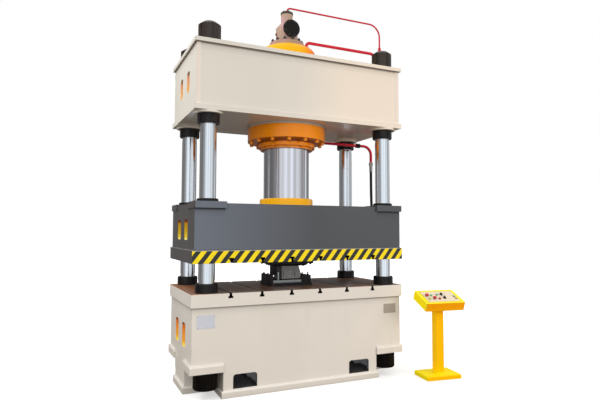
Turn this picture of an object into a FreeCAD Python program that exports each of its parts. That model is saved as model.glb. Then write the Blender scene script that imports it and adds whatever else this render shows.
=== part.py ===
import FreeCAD, Part
import collections
import math
import os
import types

import Sketcher

# Four-column hydraulic press with its push-button stand, in millimetres.
# The origin is in the middle of the foot plate, on the floor; +X is the press's right,
# +Y its back and +Z up. The slide is drawn closed, with the ram down on the tool.

DIMENSIONS = [
    # columns and their nuts
    ("column_spacing_x", 2060, "between column centres, left to right"),
    ("column_spacing_y", 864, "between column centres, front to back"),
    ("column_diameter", 165, "chromed working length of a column"),
    ("column_seat_diameter", 150, "turned ends in bed and crown"),
    ("column_thread_diameter", 120, "thread in the nuts of the crown"),
    ("column_bottom", 96, "lower end of a column"),
    ("column_top", 3702, "upper end of a column"),
    ("relief_diameter", 160, "thread relief next to the nuts"),
    ("relief_length", 35, "length of that relief"),
    ("running_gap", 0.3, "radial gap of every round fit"),
    ("crown_nut_diameter", 228, "tall nuts on the crown"),
    ("crown_nut_height", 207, "their height"),
    ("crown_nut_bevel_height", 34, "height of their bevelled top"),
    ("crown_nut_flat_diameter", 138, "flat left on that top"),
    ("collar_diameter", 222, "round nuts above the table and under the crown"),
    ("crown_collar_height", 98, "height of those under the crown"),
    ("crown_pad_diameter", 292, "welded pads over those, under the crown"),
    ("crown_pad_height", 22, "height of the pads"),
    ("table_collar_height", 92, "height of those on the table"),
    ("foot_nut_diameter", 240, "nuts under the corner plates"),
    ("foot_nut_height", 162, "their height"),
    ("nut_bevel", 8, "bevel of the round nuts"),
    ("spanner_slot_width", 20, "slots in the rims of the nuts"),
    ("spanner_slot_depth", 9, "depth of those slots"),
    # bed and table plate
    ("table_width", 2410, "table plate, left to right"),
    ("table_depth", 1092, "table plate, front to back"),
    ("table_height", 1010, "table face above the floor"),
    ("table_thickness", 130, "table plate"),
    ("table_overhang", 15, "table plate beyond the side walls"),
    ("table_bevel", 4, "bevel of the long plate edges"),
    ("bed_depth", 1044, "bed walls, front to back"),
    ("wall", 40, "plate of the outer walls"),
    ("web", 30, "plate of the inner webs"),
    ("foot_thickness", 70, "foot plate"),
    ("foot_overhang", 20, "foot plate beyond the walls"),
    ("notch_x", 874, "where the corner notches start, from the middle"),
    ("notch_y", 225, "the same, front to back"),
    ("corner_plate_bottom", 252, "underside of the corner plates"),
    ("corner_plate_thickness", 83, "corner plates"),
    ("corner_plate_overhang", 20, "corner plates beyond the walls"),
    ("fork_pocket_near", 526, "fork pocket, inner side from the middle"),
    ("fork_pocket_far", 775, "fork pocket, outer side from the middle"),
    ("fork_pocket_top", 215, "fork pocket, upper edge"),
    ("fork_pocket_corner", 30, "its rounded upper corners"),
    ("inner_cell", 480, "half width of the middle cells"),
    ("outer_cell", 840, "far side of the next cells"),
    ("housing_depth", 205, "solid housing round each column, from the wall's face"),
    ("side_slot_offset", 165, "slots of the side walls, from the middle"),
    ("side_slot_corner", 38, "their rounded corners"),
    ("bed_slot_bottom", 451, "slots in the bed"),
    ("bed_slot_top", 689, "slots in the bed"),
    ("bed_slot_width", 150, "slots in the bed"),
    # T-slots
    ("t_slot_pitch", 325.6, "between neighbouring T-slots"),
    ("t_slot_throat", 28, "width at the face"),
    ("t_slot_throat_depth", 30, "depth of the narrow part"),
    ("t_slot_head", 50, "width of the wide part"),
    ("t_slot_head_height", 22, "height of the wide part"),
    # crown
    ("crown_bottom", 2801, "underside of the crown"),
    ("crown_top", 3511, "top face of the crown"),
    ("crown_width", 2364, "crown walls, left to right"),
    ("crown_depth", 1104, "crown walls, front to back"),
    ("crown_cap_overhang", 22, "top plate beyond the walls"),
    ("crown_sole_thickness", 50, "bottom plate"),
    ("crown_sole_overhang", 20, "bottom plate beyond the walls"),
    ("crown_slot_bottom", 3050, "slots in the crown"),
    ("crown_slot_top", 3272, "slots in the crown"),
    ("crown_slot_width", 120, "slots in the crown"),
    ("crown_tube_diameter", 770, "tube round the cylinder"),
    # slide
    ("slide_bottom", 1300, "underside of the face plate, closed"),
    ("face_width", 2410, "face plate, left to right"),
    ("face_depth", 1120, "face plate, front to back"),
    ("face_thickness", 128, "face plate"),
    ("slide_width", 2367, "slide walls, left to right"),
    ("slide_depth", 1090, "slide walls, front to back"),
    ("slide_height", 461, "slide walls, bottom to top"),
    ("boss_width", 325, "corner boss plates, left to right"),
    ("boss_depth", 282, "corner boss plates, front to back"),
    ("boss_bottom", 411, "their underside above the slide walls' foot"),
    ("boss_rise", 16, "their height over the slide's top"),
    ("slide_slot_bottom", 95, "slots in the slide, above the walls' foot"),
    ("slide_slot_top", 303, "slots in the slide, above the walls' foot"),
    ("slide_slot_width", 160, "slots in the slide"),
    ("column_clearance", 184, "plain holes for the columns in the slide"),
    ("bush_diameter", 210, "guide bushes, outside"),
    ("bush_length", 265, "guide bushes"),
    ("wiper_diameter", 216, "wiper rings on the corner bosses"),
    ("wiper_height", 30, "wiper rings"),
    ("seat_tube_diameter", 660, "tube that carries the ram"),
    ("seat_tube_bore", 460, "its bore"),
    # cylinder, gland and ram
    ("barrel_diameter", 680, "main cylinder"),
    ("bore_diameter", 560, "its bore"),
    ("bore_top", 3420, "upper end of the bore"),
    ("bore_corner", 40, "rounded end of the bore"),
    ("passage_diameter", 210, "passage to the prefill valve"),
    ("flange_diameter", 894, "flange under the crown"),
    ("flange_thickness", 148, "that flange"),
    ("flange_pad_diameter", 872, "raised seat of that flange, under the crown"),
    ("shoulder_level", 3627, "where the barrel starts to round off"),
    ("shoulder_radius", 100, "rounded shoulder"),
    ("cylinder_top", 3750, "seat of the prefill valve"),
    ("cylinder_top_diameter", 412, "flat of that seat"),
    ("flange_bolt_circle", 826, "bolts of the flange"),
    ("flange_bolt_diameter", 30, "their shanks"),
    ("flange_bolt_head", 42, "their heads"),
    ("flange_bolt_head_height", 33, "their heads"),
    ("flange_bolt_grip", 26, "their depth in the crown's bottom plate"),
    ("gland_diameter", 656, "gland under the flange"),
    ("gland_height", 93, "gland below the flange"),
    ("gland_step_diameter", 604, "lower step of the gland"),
    ("gland_step_height", 24, "lower step of the gland"),
    ("gland_spigot", 59, "gland inside the bore"),
    ("seal_groove_depth", 8, "grooves for the rod seal and the wiper"),
    ("seal_height", 20, "rod seal"),
    ("ram_diameter", 520, "chromed ram"),
    ("ram_top", 2850, "top of the piston"),
    ("piston_height", 140, "piston head"),
    ("piston_ring_depth", 7, "grooves of the piston seals"),
    ("piston_ring_height", 14, "piston seals"),
    ("ram_bore_diameter", 240, "blind bore in the ram"),
    ("ram_bore_bottom", 2100, "its closed end"),
    ("ram_spigot_diameter", 400, "spigot in the slide's top plate"),
    ("ram_ring_diameter", 608, "split ring that holds the ram down"),
    ("ram_ring_height", 87, "that ring"),
    ("ram_groove_rise", 23, "groove for the ring, above the slide"),
    ("ram_groove_height", 30, "that groove"),
    ("ram_groove_depth", 10, "that groove"),
    ("ring_split", 1, "gap between the two halves of the ring"),
    ("ring_bolt_circle", 560, "bolts of the ring"),
    ("ring_bolt_diameter", 16, "their shanks"),
    ("ring_bolt_head", 26, "their heads, sunk in the ring"),
    ("ring_bolt_head_height", 16, "their heads"),
    ("ring_bolt_grip", 34, "their depth in the slide's top plate"),
    # prefill valve
    ("valve_flange_diameter", 404, "flange on the cylinder"),
    ("valve_flange_height", 44, "that flange"),
    ("valve_body_diameter", 255, "valve body"),
    ("valve_body_top", 3980, "where the body starts to narrow"),
    ("valve_neck_level", 4052, "end of that cone"),
    ("valve_neck_diameter", 137, "neck above the cone"),
    ("valve_neck_top", 4150, "top of the neck"),
    ("valve_seat_bore", 140, "bore above the seat"),
    ("valve_bridge_level", 3850, "underside of the stem's bridge"),
    ("valve_bridge_height", 20, "that bridge"),
    ("valve_chamber_diameter", 190, "chamber above the bridge"),
    ("valve_chamber_top", 3990, "that chamber"),
    ("pilot_bore_diameter", 80, "bore of the pilot piston"),
    ("pilot_bore_bottom", 4002, "lower end of that bore"),
    ("valve_port_level", 3944, "middle of the side port"),
    ("valve_port_diameter", 90, "bore of the side port"),
    ("valve_port_face", 128, "face of the side port, from the axis"),
    ("port_flange_thickness", 20, "flange of the side port"),
    ("port_cover_diameter", 200, "blank cover of the side port"),
    ("port_cover_thickness", 24, "that cover"),
    ("valve_cap_diameter", 145, "cap on the neck"),
    ("valve_cap_height", 28, "that cap"),
    ("valve_bolt_circle", 350, "studs of the valve flange"),
    ("valve_bolt_diameter", 20, "those studs"),
    ("valve_nut_diameter", 36, "their nuts"),
    ("valve_nut_height", 30, "their nuts"),
    ("valve_stud_rise", 44, "stud ends above the flange"),
    ("valve_stud_grip", 34, "studs in the cylinder"),
    ("stem_diameter", 30, "stem of the poppet"),
    ("poppet_diameter", 166, "disc of the poppet"),
    ("poppet_thickness", 18, "disc of the poppet"),
    ("poppet_rest_gap", 0.5, "gap of the closed disc"),
    ("spring_collar_level", 3944, "underside of the spring's collar"),
    ("spring_collar_diameter", 70, "that collar"),
    ("spring_collar_height", 10, "that collar"),
    ("spring_wire", 7, "wire of the poppet spring"),
    ("spring_diameter", 50, "middle of its coils"),
    ("spring_turns", 5, "its coils"),
    ("pilot_piston_level", 4062, "underside of the pilot piston"),
    ("pilot_piston_height", 40, "pilot piston"),
    # pipes and hose
    ("pilot_pipe_diameter", 20, "thin pipe from the valve's cap"),
    ("pilot_pipe_level", 4242, "its level stretch"),
    ("pilot_pipe_drop", 1289, "its upright stretch"),
    ("pilot_pipe_near_bend", 50, "bend over the valve"),
    ("pilot_pipe_far_bend", 150, "bend over the crown's end"),
    ("pilot_union_level", 3905, "coupling on the upright stretch"),
    ("pilot_union_length", 48, "that coupling"),
    ("pilot_union_diameter", 36, "that coupling"),
    ("pressure_pipe_diameter", 36, "thick pipe from the cylinder's shoulder"),
    ("pressure_pipe_start", 250, "its boss on the shoulder"),
    ("pressure_boss_diameter", 62, "that boss"),
    ("pressure_boss_top", 3790, "that boss"),
    ("pressure_pipe_level", 3863, "its level stretch"),
    ("pressure_pipe_drop", 1235, "its upright stretch"),
    ("pressure_pipe_near_bend", 52, "bend over the shoulder"),
    ("pressure_pipe_far_bend", 90, "bend over the crown's end"),
    ("pipe_block_top", 3300, "block on the crown's end wall, where both pipes end"),
    ("pipe_block_height", 120, "that block"),
    ("pipe_block_width", 110, "that block, front to back"),
    ("pipe_block_reach", 160, "that block, out from the wall"),
    ("return_pipe_diameter", 35, "pipe from the cylinder's flange"),
    ("return_pipe_offset", 187, "behind the middle"),
    ("return_pipe_level", 2706, "its level stretch"),
    ("return_pipe_start", 470, "face of its boss"),
    ("return_boss_diameter", 56, "that boss"),
    ("return_pipe_drop", 1269, "its upright stretch"),
    ("return_pipe_bend", 110, "its bend"),
    ("return_pipe_end", 2499, "its lower end"),
    ("return_union_place", 1045, "coupling on the level stretch"),
    ("return_union_length", 52, "that coupling"),
    ("return_union_diameter", 56, "that coupling"),
    ("ferrule_length", 118, "pale hose fitting"),
    ("ferrule_diameter", 50, "pale hose fitting"),
    ("hose_diameter", 34, "black return hose"),
    ("hose_outlet_x", 1340, "lower end of the hose"),
    ("hose_outlet_y", 60, "lower end of the hose"),
    ("hose_outlet_level", 796, "lower end of the hose"),
    ("outlet_block_top", 700, "elbow block on the bed's end wall"),
    ("outlet_block_height", 90, "that block"),
    ("outlet_block_width", 80, "that block, front to back"),
    # press tool
    ("tool_width", 490, "tool plates, left to right"),
    ("tool_top_width", 530, "plate under the slide, left to right"),
    ("tool_depth", 350, "tool plates, front to back"),
    ("tool_top_plate", 50, "plate under the slide"),
    ("adapter_height", 25, "tapered plate below it"),
    ("adapter_width", 420, "its upper face, left to right"),
    ("adapter_depth", 300, "its upper face, front to back"),
    ("adapter_taper", 20, "drawn in on every side"),
    ("punch_left", -100, "punch block"),
    ("punch_right", 130, "punch block"),
    ("punch_bottom", 1083, "punch block"),
    ("punch_slant", 24, "slanting right side of the punch block"),
    ("punch_shoulder", 1150, "where that slant starts"),
    ("punch_depth", 240, "punch block, front to back"),
    ("punch_rib_width", 36, "raised ribs of the punch block"),
    ("punch_rib_rise", 10, "those ribs, out from the block"),
    ("side_block_left", -182, "block left of the punch"),
    ("side_block_right", -130, "block left of the punch"),
    ("side_block_bottom", 1118, "block left of the punch"),
    ("side_block_depth", 80, "block left of the punch, front to back"),
    ("tool_base_thickness", 31, "plate on the table"),
    ("die_left", -212, "bright die plate"),
    ("die_right", 128, "bright die plate"),
    ("die_thickness", 34, "bright die plate"),
    ("die_depth", 290, "bright die plate"),
    ("left_stop_inner", -215, "left side stop, inner face"),
    ("left_stop_height", 92, "left side stop"),
    ("right_stop_inner", 134, "right side stop, inner face"),
    ("right_stop_height", 76, "right side stop"),
    ("stop_depth", 300, "side stops, front to back"),
    ("stud_diameter", 16, "upright studs on the stops"),
    ("stud_top", 1150, "top of those studs"),
    ("guide_pin_diameter", 26, "bright guide pin"),
    ("guide_pin_x", -147, "guide pin"),
    ("guide_pin_y", -128, "guide pin"),
    ("guide_pin_top", 1165, "guide pin"),
    # push-button stand
    ("stand_x", 1514, "post of the stand"),
    ("stand_y", -788, "post of the stand"),
    ("stand_turn", -8, "stand turned about its post, degrees"),
    ("stand_foot_width", 415, "foot plate"),
    ("stand_foot_depth", 290, "foot plate"),
    ("stand_foot_height", 50, "foot plate"),
    ("stand_foot_shift", 15, "foot plate behind the post"),
    ("stand_foot_bevel", 12, "its bevelled upper edge"),
    ("post_width", 90, "square post"),
    ("post_wall", 6, "wall of the post"),
    ("box_reach", 50, "middle of the box before the post"),
    ("box_level", 891, "middle of the box's face above the floor"),
    ("box_tilt", 21.5, "slope of the box's face, degrees"),
    ("box_width", 478, "sloping box"),
    ("box_length", 300, "sloping box, along the slope"),
    ("box_thickness", 95, "sloping box"),
    ("box_wall", 4, "sheet of the box"),
    ("box_corner", 10, "bevelled edges of the box"),
    ("panel_width", 395, "panel on the box"),
    ("panel_length", 234, "panel on the box"),
    ("panel_shift", -5, "panel below the middle of the face"),
    ("panel_thickness", 4, "panel on the box"),
    ("panel_rim", 14, "where the panel lies on the box"),
    ("control_stem", 12, "stems of the controls"),
    ("control_depth", 24, "stems below the panel's face"),
    ("mushroom_diameter", 42, "mushroom buttons"),
    ("mushroom_lift", 12, "gap under the mushroom buttons"),
    ("mushroom_rim", 8, "rim of the mushroom buttons"),
    ("mushroom_dome", 7, "dome of the mushroom buttons"),
    ("button_diameter", 26, "push buttons"),
    ("button_lift", 7, "gap under the push buttons"),
    ("button_height", 7, "push buttons"),
    ("knob_diameter", 34, "selector knobs"),
    ("knob_height", 8, "selector knobs"),
    ("knob_grip_width", 11, "grip across a selector knob"),
    ("knob_grip_height", 13, "that grip"),
]

# Controls of the stand: node name, kind, place across the panel and place up its slope.
CONTROLS = [
    ("stop_button_left", "mushroom", -156, 13),
    ("stop_button_right", "mushroom", -93, -50),
    ("push_button_upper_left", "button", -99, 18),
    ("push_button_lower_left", "button", -156, -54),
    ("push_button_upper_middle", "button", -21, 28),
    ("push_button_lower_middle", "button", -35, -60),
    ("selector_upper", "selector", 34, 30),
    ("selector_lower", "selector", 35, -44),
]

FLANGE_BOLTS = 14
FLANGE_BOLT_PHASE = -6
RING_BOLTS = 12
RING_BOLT_PHASE = 15
VALVE_BOLTS = 12
SPANNER_SLOTS = 6

TOP = "XY_Plane"      # levels count up from the floor
FRONT = "XZ_Plane"    # levels count from the middle to the front
SIDE = "YZ_Plane"     # levels count from the middle to the right

START_POINT = 1
END_POINT = 2
CENTRE_POINT = 3
MIDDLE = FreeCAD.Vector(0, 0, 0)
UPWARD = FreeCAD.Vector(0, 0, 1)

Circle = collections.namedtuple("Circle", "x y radius")
# A corner's bend is the radius of the arc that leaves it, its turn 1 for anticlockwise.
Corner = collections.namedtuple("Corner", "x y bend turn", defaults=(None, 1))


class Size:
    """A length that carries the spreadsheet formula it is worked out by."""

    def __init__(self, number, formula):
        self.number = float(number)
        self.formula = formula

    def __add__(self, other):
        other = as_size(other)
        return Size(self.number + other.number, "(%s + %s)" % (self.formula, other.formula))

    def __sub__(self, other):
        other = as_size(other)
        return Size(self.number - other.number, "(%s - %s)" % (self.formula, other.formula))

    def __mul__(self, other):
        other = as_size(other)
        return Size(self.number * other.number, "(%s * %s)" % (self.formula, other.formula))

    def __truediv__(self, other):
        other = as_size(other)
        return Size(self.number / other.number, "(%s / %s)" % (self.formula, other.formula))

    def __neg__(self):
        return Size(-self.number, "(-%s)" % self.formula)

    def __radd__(self, other):
        return as_size(other) + self

    def __rsub__(self, other):
        return as_size(other) - self


def as_size(value):
    if isinstance(value, Size):
        return value
    return Size(value, "(%.6f)" % value)


def tangent(angle):
    """The tangent of a Size given in degrees."""
    return Size(math.tan(math.radians(angle.number)), "tan(%s * 1 deg)" % angle.formula)


def make_sheet():
    """Writes the driving dimensions and returns them as Sizes, by name."""
    sheet = document.addObject("Spreadsheet::Sheet", "Dims")
    sizes = {}
    for row, (alias, value, meaning) in enumerate(DIMENSIONS, start=1):
        sheet.set("A%d" % row, alias)
        sheet.set("B%d" % row, str(value))
        sheet.set("C%d" % row, meaning)
        sheet.setAlias("B%d" % row, alias)
        sizes[alias] = Size(value, "Dims." + alias)
    document.recompute()
    return types.SimpleNamespace(**sizes)


# Outlines

def rectangle(left, right, bottom, top):
    return [Corner(left, bottom), Corner(right, bottom), Corner(right, top), Corner(left, top)]


def rounded_rectangle(left, right, bottom, top, corner):
    return [
        Corner(left + corner, bottom), Corner(right - corner, bottom, corner),
        Corner(right, bottom + corner), Corner(right, top - corner, corner),
        Corner(right - corner, top), Corner(left + corner, top, corner),
        Corner(left, top - corner), Corner(left, bottom + corner, corner),
    ]


def cross(inner_x, outer_y, outer_x, inner_y):
    """A rectangle with its four corners notched out."""
    return [
        Corner(-inner_x, -outer_y), Corner(inner_x, -outer_y), Corner(inner_x, -inner_y),
        Corner(outer_x, -inner_y), Corner(outer_x, inner_y), Corner(inner_x, inner_y),
        Corner(inner_x, outer_y), Corner(-inner_x, outer_y), Corner(-inner_x, inner_y),
        Corner(-outer_x, inner_y), Corner(-outer_x, -inner_y), Corner(-inner_x, -inner_y),
    ]


def both_ways(near, far):
    """The span from near to far and its mirror image."""
    return [(-far, -near), (near, far)]


def grid(columns, rows):
    return [rectangle(*column, *row) for column in columns for row in rows]


def on_circle(diameter, count, phase=0):
    """Evenly spaced points of a circle about the middle."""
    angles = [math.radians(phase + 360 / count * step) for step in range(count)]
    return [(diameter / 2 * math.cos(angle), diameter / 2 * math.sin(angle)) for angle in angles]


def circles(places, diameter):
    return [Circle(x, y, diameter / 2) for x, y in places]


def column_places(d):
    x = d.column_spacing_x / 2
    y = d.column_spacing_y / 2
    return [(-x, -y), (x, -y), (-x, y), (x, y)]


# Sketches and features

def new_body(name):
    body = document.addObject("PartDesign::Body", name)
    body.Label = name
    body.AllowCompound = True
    return body


def bind(target, name, size):
    target.setExpression(name, as_size(size).formula)


def measure(outline, kind, items, size):
    """A dimension of a sketch, bound to its formula."""
    size = as_size(size)
    place = outline.addConstraint(Sketcher.Constraint(kind, *items, size.number))
    outline.setExpression("Constraints[%d]" % place, size.formula)


def point_of(x, y):
    return FreeCAD.Vector(as_size(x).number, as_size(y).number, 0)


def arc_between(start, end, radius, turn):
    """The short arc from start to end; turn is 1 for anticlockwise."""
    chord = end - start
    height = math.sqrt(max(radius ** 2 - chord.Length ** 2 / 4, 0))
    inward = FreeCAD.Vector(-chord.y, chord.x, 0).normalize() * turn
    centre = (start + end) * 0.5 + inward * height
    first, last = (start, end) if turn > 0 else (end, start)
    from_angle = math.atan2(first.y - centre.y, first.x - centre.x)
    to_angle = math.atan2(last.y - centre.y, last.x - centre.x)
    return Part.ArcOfCircle(Part.Circle(centre, UPWARD, radius), from_angle, to_angle)


def draw_circle(outline, circle):
    centre = point_of(circle.x, circle.y)
    item = outline.addGeometry(Part.Circle(centre, UPWARD, as_size(circle.radius).number), False)
    measure(outline, "DistanceX", (item, CENTRE_POINT), circle.x)
    measure(outline, "DistanceY", (item, CENTRE_POINT), circle.y)
    measure(outline, "Radius", (item,), circle.radius)


def draw_corners(outline, corners):
    sides = []
    for corner, following in zip(corners, corners[1:] + corners[:1]):
        start = point_of(corner.x, corner.y)
        end = point_of(following.x, following.y)
        if corner.bend is None:
            item = outline.addGeometry(Part.LineSegment(start, end), False)
            sides.append((item, START_POINT, END_POINT))
            continue
        curve = arc_between(start, end, as_size(corner.bend).number, corner.turn)
        item = outline.addGeometry(curve, False)
        ends = (START_POINT, END_POINT) if corner.turn > 0 else (END_POINT, START_POINT)
        sides.append((item,) + ends)
        measure(outline, "Radius", (item,), corner.bend)
    for side, following in zip(sides, sides[1:] + sides[:1]):
        joint = Sketcher.Constraint("Coincident", side[0], side[2], following[0], following[1])
        outline.addConstraint(joint)
    for (item, start_of_side, _), corner in zip(sides, corners):
        measure(outline, "DistanceX", (item, start_of_side), corner.x)
        measure(outline, "DistanceY", (item, start_of_side), corner.y)


def sketch(body, plane, loops, level=0):
    outline = body.newObject("Sketcher::SketchObject", "outline")
    planes = [item for item in body.Origin.OriginFeatures if item.Role == plane]
    outline.AttachmentSupport = [(planes[0], "")]
    outline.MapMode = "FlatFace"
    bind(outline, "AttachmentOffset.Base.z", level)
    for loop in loops:
        if isinstance(loop, Circle):
            draw_circle(outline, loop)
        else:
            draw_corners(outline, loop)
    return outline


def add(body, plane, loops, low, high):
    """Adds the loops' area between two levels."""
    outline = sketch(body, plane, loops, low)
    feature = body.newObject("PartDesign::Pad", "plate")
    feature.Profile = outline
    bind(feature, "Length", as_size(high) - low)


def add_tapered(body, plane, loops, low, high, draw_in):
    """Adds the loops' area between two levels, drawn in on every side toward the upper one."""
    add(body, plane, loops, low, high)
    slope = math.degrees(math.atan2(draw_in.number, (as_size(high) - low).number))
    body.Tip.TaperAngle = -slope


def cut(body, plane, loops, low, high):
    """Takes the loops' area away between two levels."""
    outline = sketch(body, plane, loops, high)
    feature = body.newObject("PartDesign::Pocket", "opening")
    feature.Profile = outline
    bind(feature, "Length", as_size(high) - low)


def turn(body, corners):
    """Turns an outline of radius and height about the upright axis."""
    outline = sketch(body, FRONT, [corners])
    feature = body.newObject("PartDesign::Revolution", "turned")
    feature.Profile = outline
    feature.ReferenceAxis = (outline, ["V_Axis"])
    feature.Angle = 360


def steps(*sizes):
    """An outline from pairs of radius and height, all straight."""
    return [Corner(*size) for size in sizes]


def bevel(body, size, wanted):
    """Bevels those edges of the body that wanted picks."""
    document.recompute()
    shape = body.Tip.Shape
    names = ["Edge%d" % place for place, edge in enumerate(shape.Edges, start=1) if wanted(edge)]
    feature = body.newObject("PartDesign::Chamfer", "bevel")
    feature.Base = (feature.BaseFeature, names)
    bind(feature, "Size", size)


def at_level(level):
    """Picks the edges that lie flat at one height."""
    height = as_size(level).number

    def wanted(edge):
        box = edge.BoundBox
        return abs(box.ZMin - height) < 0.01 and abs(box.ZMax - height) < 0.01

    return wanted


def rim_at(level, diameter):
    """Picks the circles of one diameter at one height."""
    flat = at_level(level)
    radius = as_size(diameter).number / 2

    def wanted(edge):
        return flat(edge) and hasattr(edge.Curve, "Radius") and abs(edge.Curve.Radius - radius) < 0.01

    return wanted


def stand_at(body, x, y):
    bind(body, "Placement.Base.x", x)
    bind(body, "Placement.Base.y", y)


# Columns and nuts

def make_columns(d):
    seat = d.column_seat_diameter / 2
    thread = d.column_thread_diameter / 2
    main = d.column_diameter / 2
    relief = d.relief_diameter / 2
    lower_nut_top = d.table_height + d.table_collar_height
    upper_nut_bottom = d.crown_bottom - d.crown_pad_height - d.crown_collar_height
    names = ["column_front_left", "column_front_right", "column_rear_left", "column_rear_right"]
    for name, (x, y) in zip(names, column_places(d)):
        body = new_body(name)
        turn(body, steps(
            (0, d.column_bottom), (seat, d.column_bottom), (seat, d.table_height),
            (main, d.table_height), (main, lower_nut_top), (relief, lower_nut_top),
            (relief, lower_nut_top + d.relief_length), (main, lower_nut_top + d.relief_length),
            (main, upper_nut_bottom - d.relief_length), (relief, upper_nut_bottom - d.relief_length),
            (relief, upper_nut_bottom), (main, upper_nut_bottom), (main, d.crown_bottom),
            (seat, d.crown_bottom), (seat, d.crown_top), (thread, d.crown_top),
            (thread, d.column_top), (0, d.column_top)))
        stand_at(body, x, y)


def spanner_slots(d, diameter):
    """Slots across the rim of the nut on every column."""
    reach = (diameter / 2).number
    depth = d.spanner_slot_depth
    loops = []
    for x, y in column_places(d):
        for step in range(SPANNER_SLOTS):
            angle = math.radians(360 / SPANNER_SLOTS * (step + 0.5))
            along = FreeCAD.Vector(math.cos(angle), math.sin(angle), 0)
            across = FreeCAD.Vector(-along.y, along.x, 0)
            half = d.spanner_slot_width / 2
            corners = [(-depth, -1), (depth, -1), (depth, 1), (-depth, 1)]
            loops.append([
                Corner(x + along.x * reach + out * along.x + half * (side * across.x),
                       y + along.y * reach + out * along.y + half * (side * across.y))
                for out, side in corners])
    return loops


def ring_of_nuts(d, name, low, high, diameter, bore, bevelled):
    """One round nut on each column, with spanner slots in its rim."""
    body = new_body(name)
    places = column_places(d)
    add(body, TOP, circles(places, diameter) + circles(places, bore), low, high)
    bevel(body, d.nut_bevel, rim_at(bevelled, diameter))
    cut(body, TOP, spanner_slots(d, diameter), low, high)
    return body


def make_nuts(d):
    places = column_places(d)
    gap = d.running_gap * 2

    body = new_body("crown_nuts")
    shoulder = d.crown_top + d.crown_nut_height - d.crown_nut_bevel_height
    top = d.crown_top + d.crown_nut_height
    draw_in = (d.crown_nut_diameter - d.crown_nut_flat_diameter) / 2
    outer = circles(places, d.crown_nut_diameter)
    add(body, TOP, outer, d.crown_top, shoulder)
    add_tapered(body, TOP, outer, shoulder, top, draw_in)
    cut(body, TOP, circles(places, d.column_thread_diameter + gap), d.crown_top, top)
    cut(body, TOP, spanner_slots(d, d.crown_nut_diameter), d.crown_top, shoulder)

    pad_foot = d.crown_bottom - d.crown_pad_height
    collar_foot = pad_foot - d.crown_collar_height
    bore = d.column_diameter + gap
    ring_of_nuts(d, "crown_collars", collar_foot, pad_foot, d.collar_diameter, bore, collar_foot)
    collar_top = d.table_height + d.table_collar_height
    ring_of_nuts(d, "table_collars", d.table_height, collar_top, d.collar_diameter, bore, collar_top)
    foot = d.corner_plate_bottom - d.foot_nut_height
    bore = d.column_seat_diameter + gap
    ring_of_nuts(d, "foot_nuts", foot, d.corner_plate_bottom, d.foot_nut_diameter, bore, foot)


# Bed and table plate

def side_slots(d, bottom, top, width):
    offsets = (-d.side_slot_offset, d.side_slot_offset)
    return [rounded_rectangle(offset - width / 2, offset + width / 2, bottom, top,
                              d.side_slot_corner) for offset in offsets]


def cut_side_walls(body, loops, half_width, wall):
    """Cuts the loops through both end walls."""
    cut(body, SIDE, loops, half_width - wall, half_width)
    cut(body, SIDE, loops, -half_width, wall - half_width)


def make_bed_frame(d):
    body = new_body("bed_frame")
    half_width = d.table_width / 2 - d.table_overhang
    half_depth = d.bed_depth / 2
    storey_top = d.corner_plate_bottom + d.corner_plate_thickness
    bed_top = d.table_height - d.table_thickness
    foot = cross(d.notch_x + d.foot_overhang, half_depth + d.foot_overhang,
                 half_width + d.foot_overhang, d.notch_y + d.foot_overhang)
    add(body, TOP, [foot], 0, d.foot_thickness)
    bevel(body, d.table_bevel, at_level(d.foot_thickness))
    storey = cross(d.notch_x, half_depth, half_width, d.notch_y)
    add(body, TOP, [storey], d.foot_thickness, storey_top)
    plates = grid(both_ways(d.notch_x, half_width + d.corner_plate_overhang),
                  both_ways(d.notch_y, half_depth + d.corner_plate_overhang))
    add(body, TOP, plates, d.corner_plate_bottom, storey_top)
    box = rectangle(-half_width, half_width, -half_depth, half_depth)
    add(body, TOP, [box], storey_top, bed_top)

    middle = [(-d.inner_cell, d.inner_cell)]
    next_cells = both_ways(d.inner_cell + d.web, d.outer_cell)
    end_cells = both_ways(d.notch_x, half_width - d.wall)
    lower_top = storey_top - d.wall
    row_far = half_depth - d.wall
    row_near = d.notch_y - d.wall
    lower_rows = both_ways(d.notch_y, row_far) + [(-row_near, row_near)]
    lower = grid(middle + next_cells, lower_rows) + grid(end_cells, [(-row_near, row_near)])
    cut(body, TOP, lower, d.foot_thickness, lower_top)
    upper = grid(middle + next_cells, both_ways(d.web / 2, row_far))
    upper += grid(end_cells, both_ways(d.web / 2, half_depth - d.housing_depth))
    cut(body, TOP, upper, storey_top, bed_top - d.wall)

    pockets = []
    for near, far in both_ways(d.fork_pocket_near, d.fork_pocket_far):
        corner = d.fork_pocket_corner
        pockets.append([
            Corner(near, d.foot_thickness), Corner(far, d.foot_thickness),
            Corner(far, d.fork_pocket_top - corner, corner), Corner(far - corner, d.fork_pocket_top),
            Corner(near + corner, d.fork_pocket_top, corner), Corner(near, d.fork_pocket_top - corner),
        ])
    cut(body, FRONT, pockets, -half_depth, half_depth)
    slots = side_slots(d, d.bed_slot_bottom, d.bed_slot_top, d.bed_slot_width)
    cut_side_walls(body, slots, half_width, d.wall)
    bores = circles(column_places(d), d.column_seat_diameter + d.running_gap * 2)
    cut(body, TOP, bores, d.corner_plate_bottom, bed_top)


def t_slots(d, face, inward):
    """T-slots that open at the level of the face; inward is 1 where the plate lies above it."""
    neck = face + d.t_slot_throat_depth * inward
    roof = neck + d.t_slot_head_height * inward
    loops = []
    for step in (-2.5, -1.5, -0.5, 0.5, 1.5, 2.5):
        middle = d.t_slot_pitch * step
        throat = d.t_slot_throat / 2
        head = d.t_slot_head / 2
        loops.append(steps(
            (middle - throat, face), (middle - throat, neck), (middle - head, neck),
            (middle - head, roof), (middle + head, roof), (middle + head, neck),
            (middle + throat, neck), (middle + throat, face)))
    return loops


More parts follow.
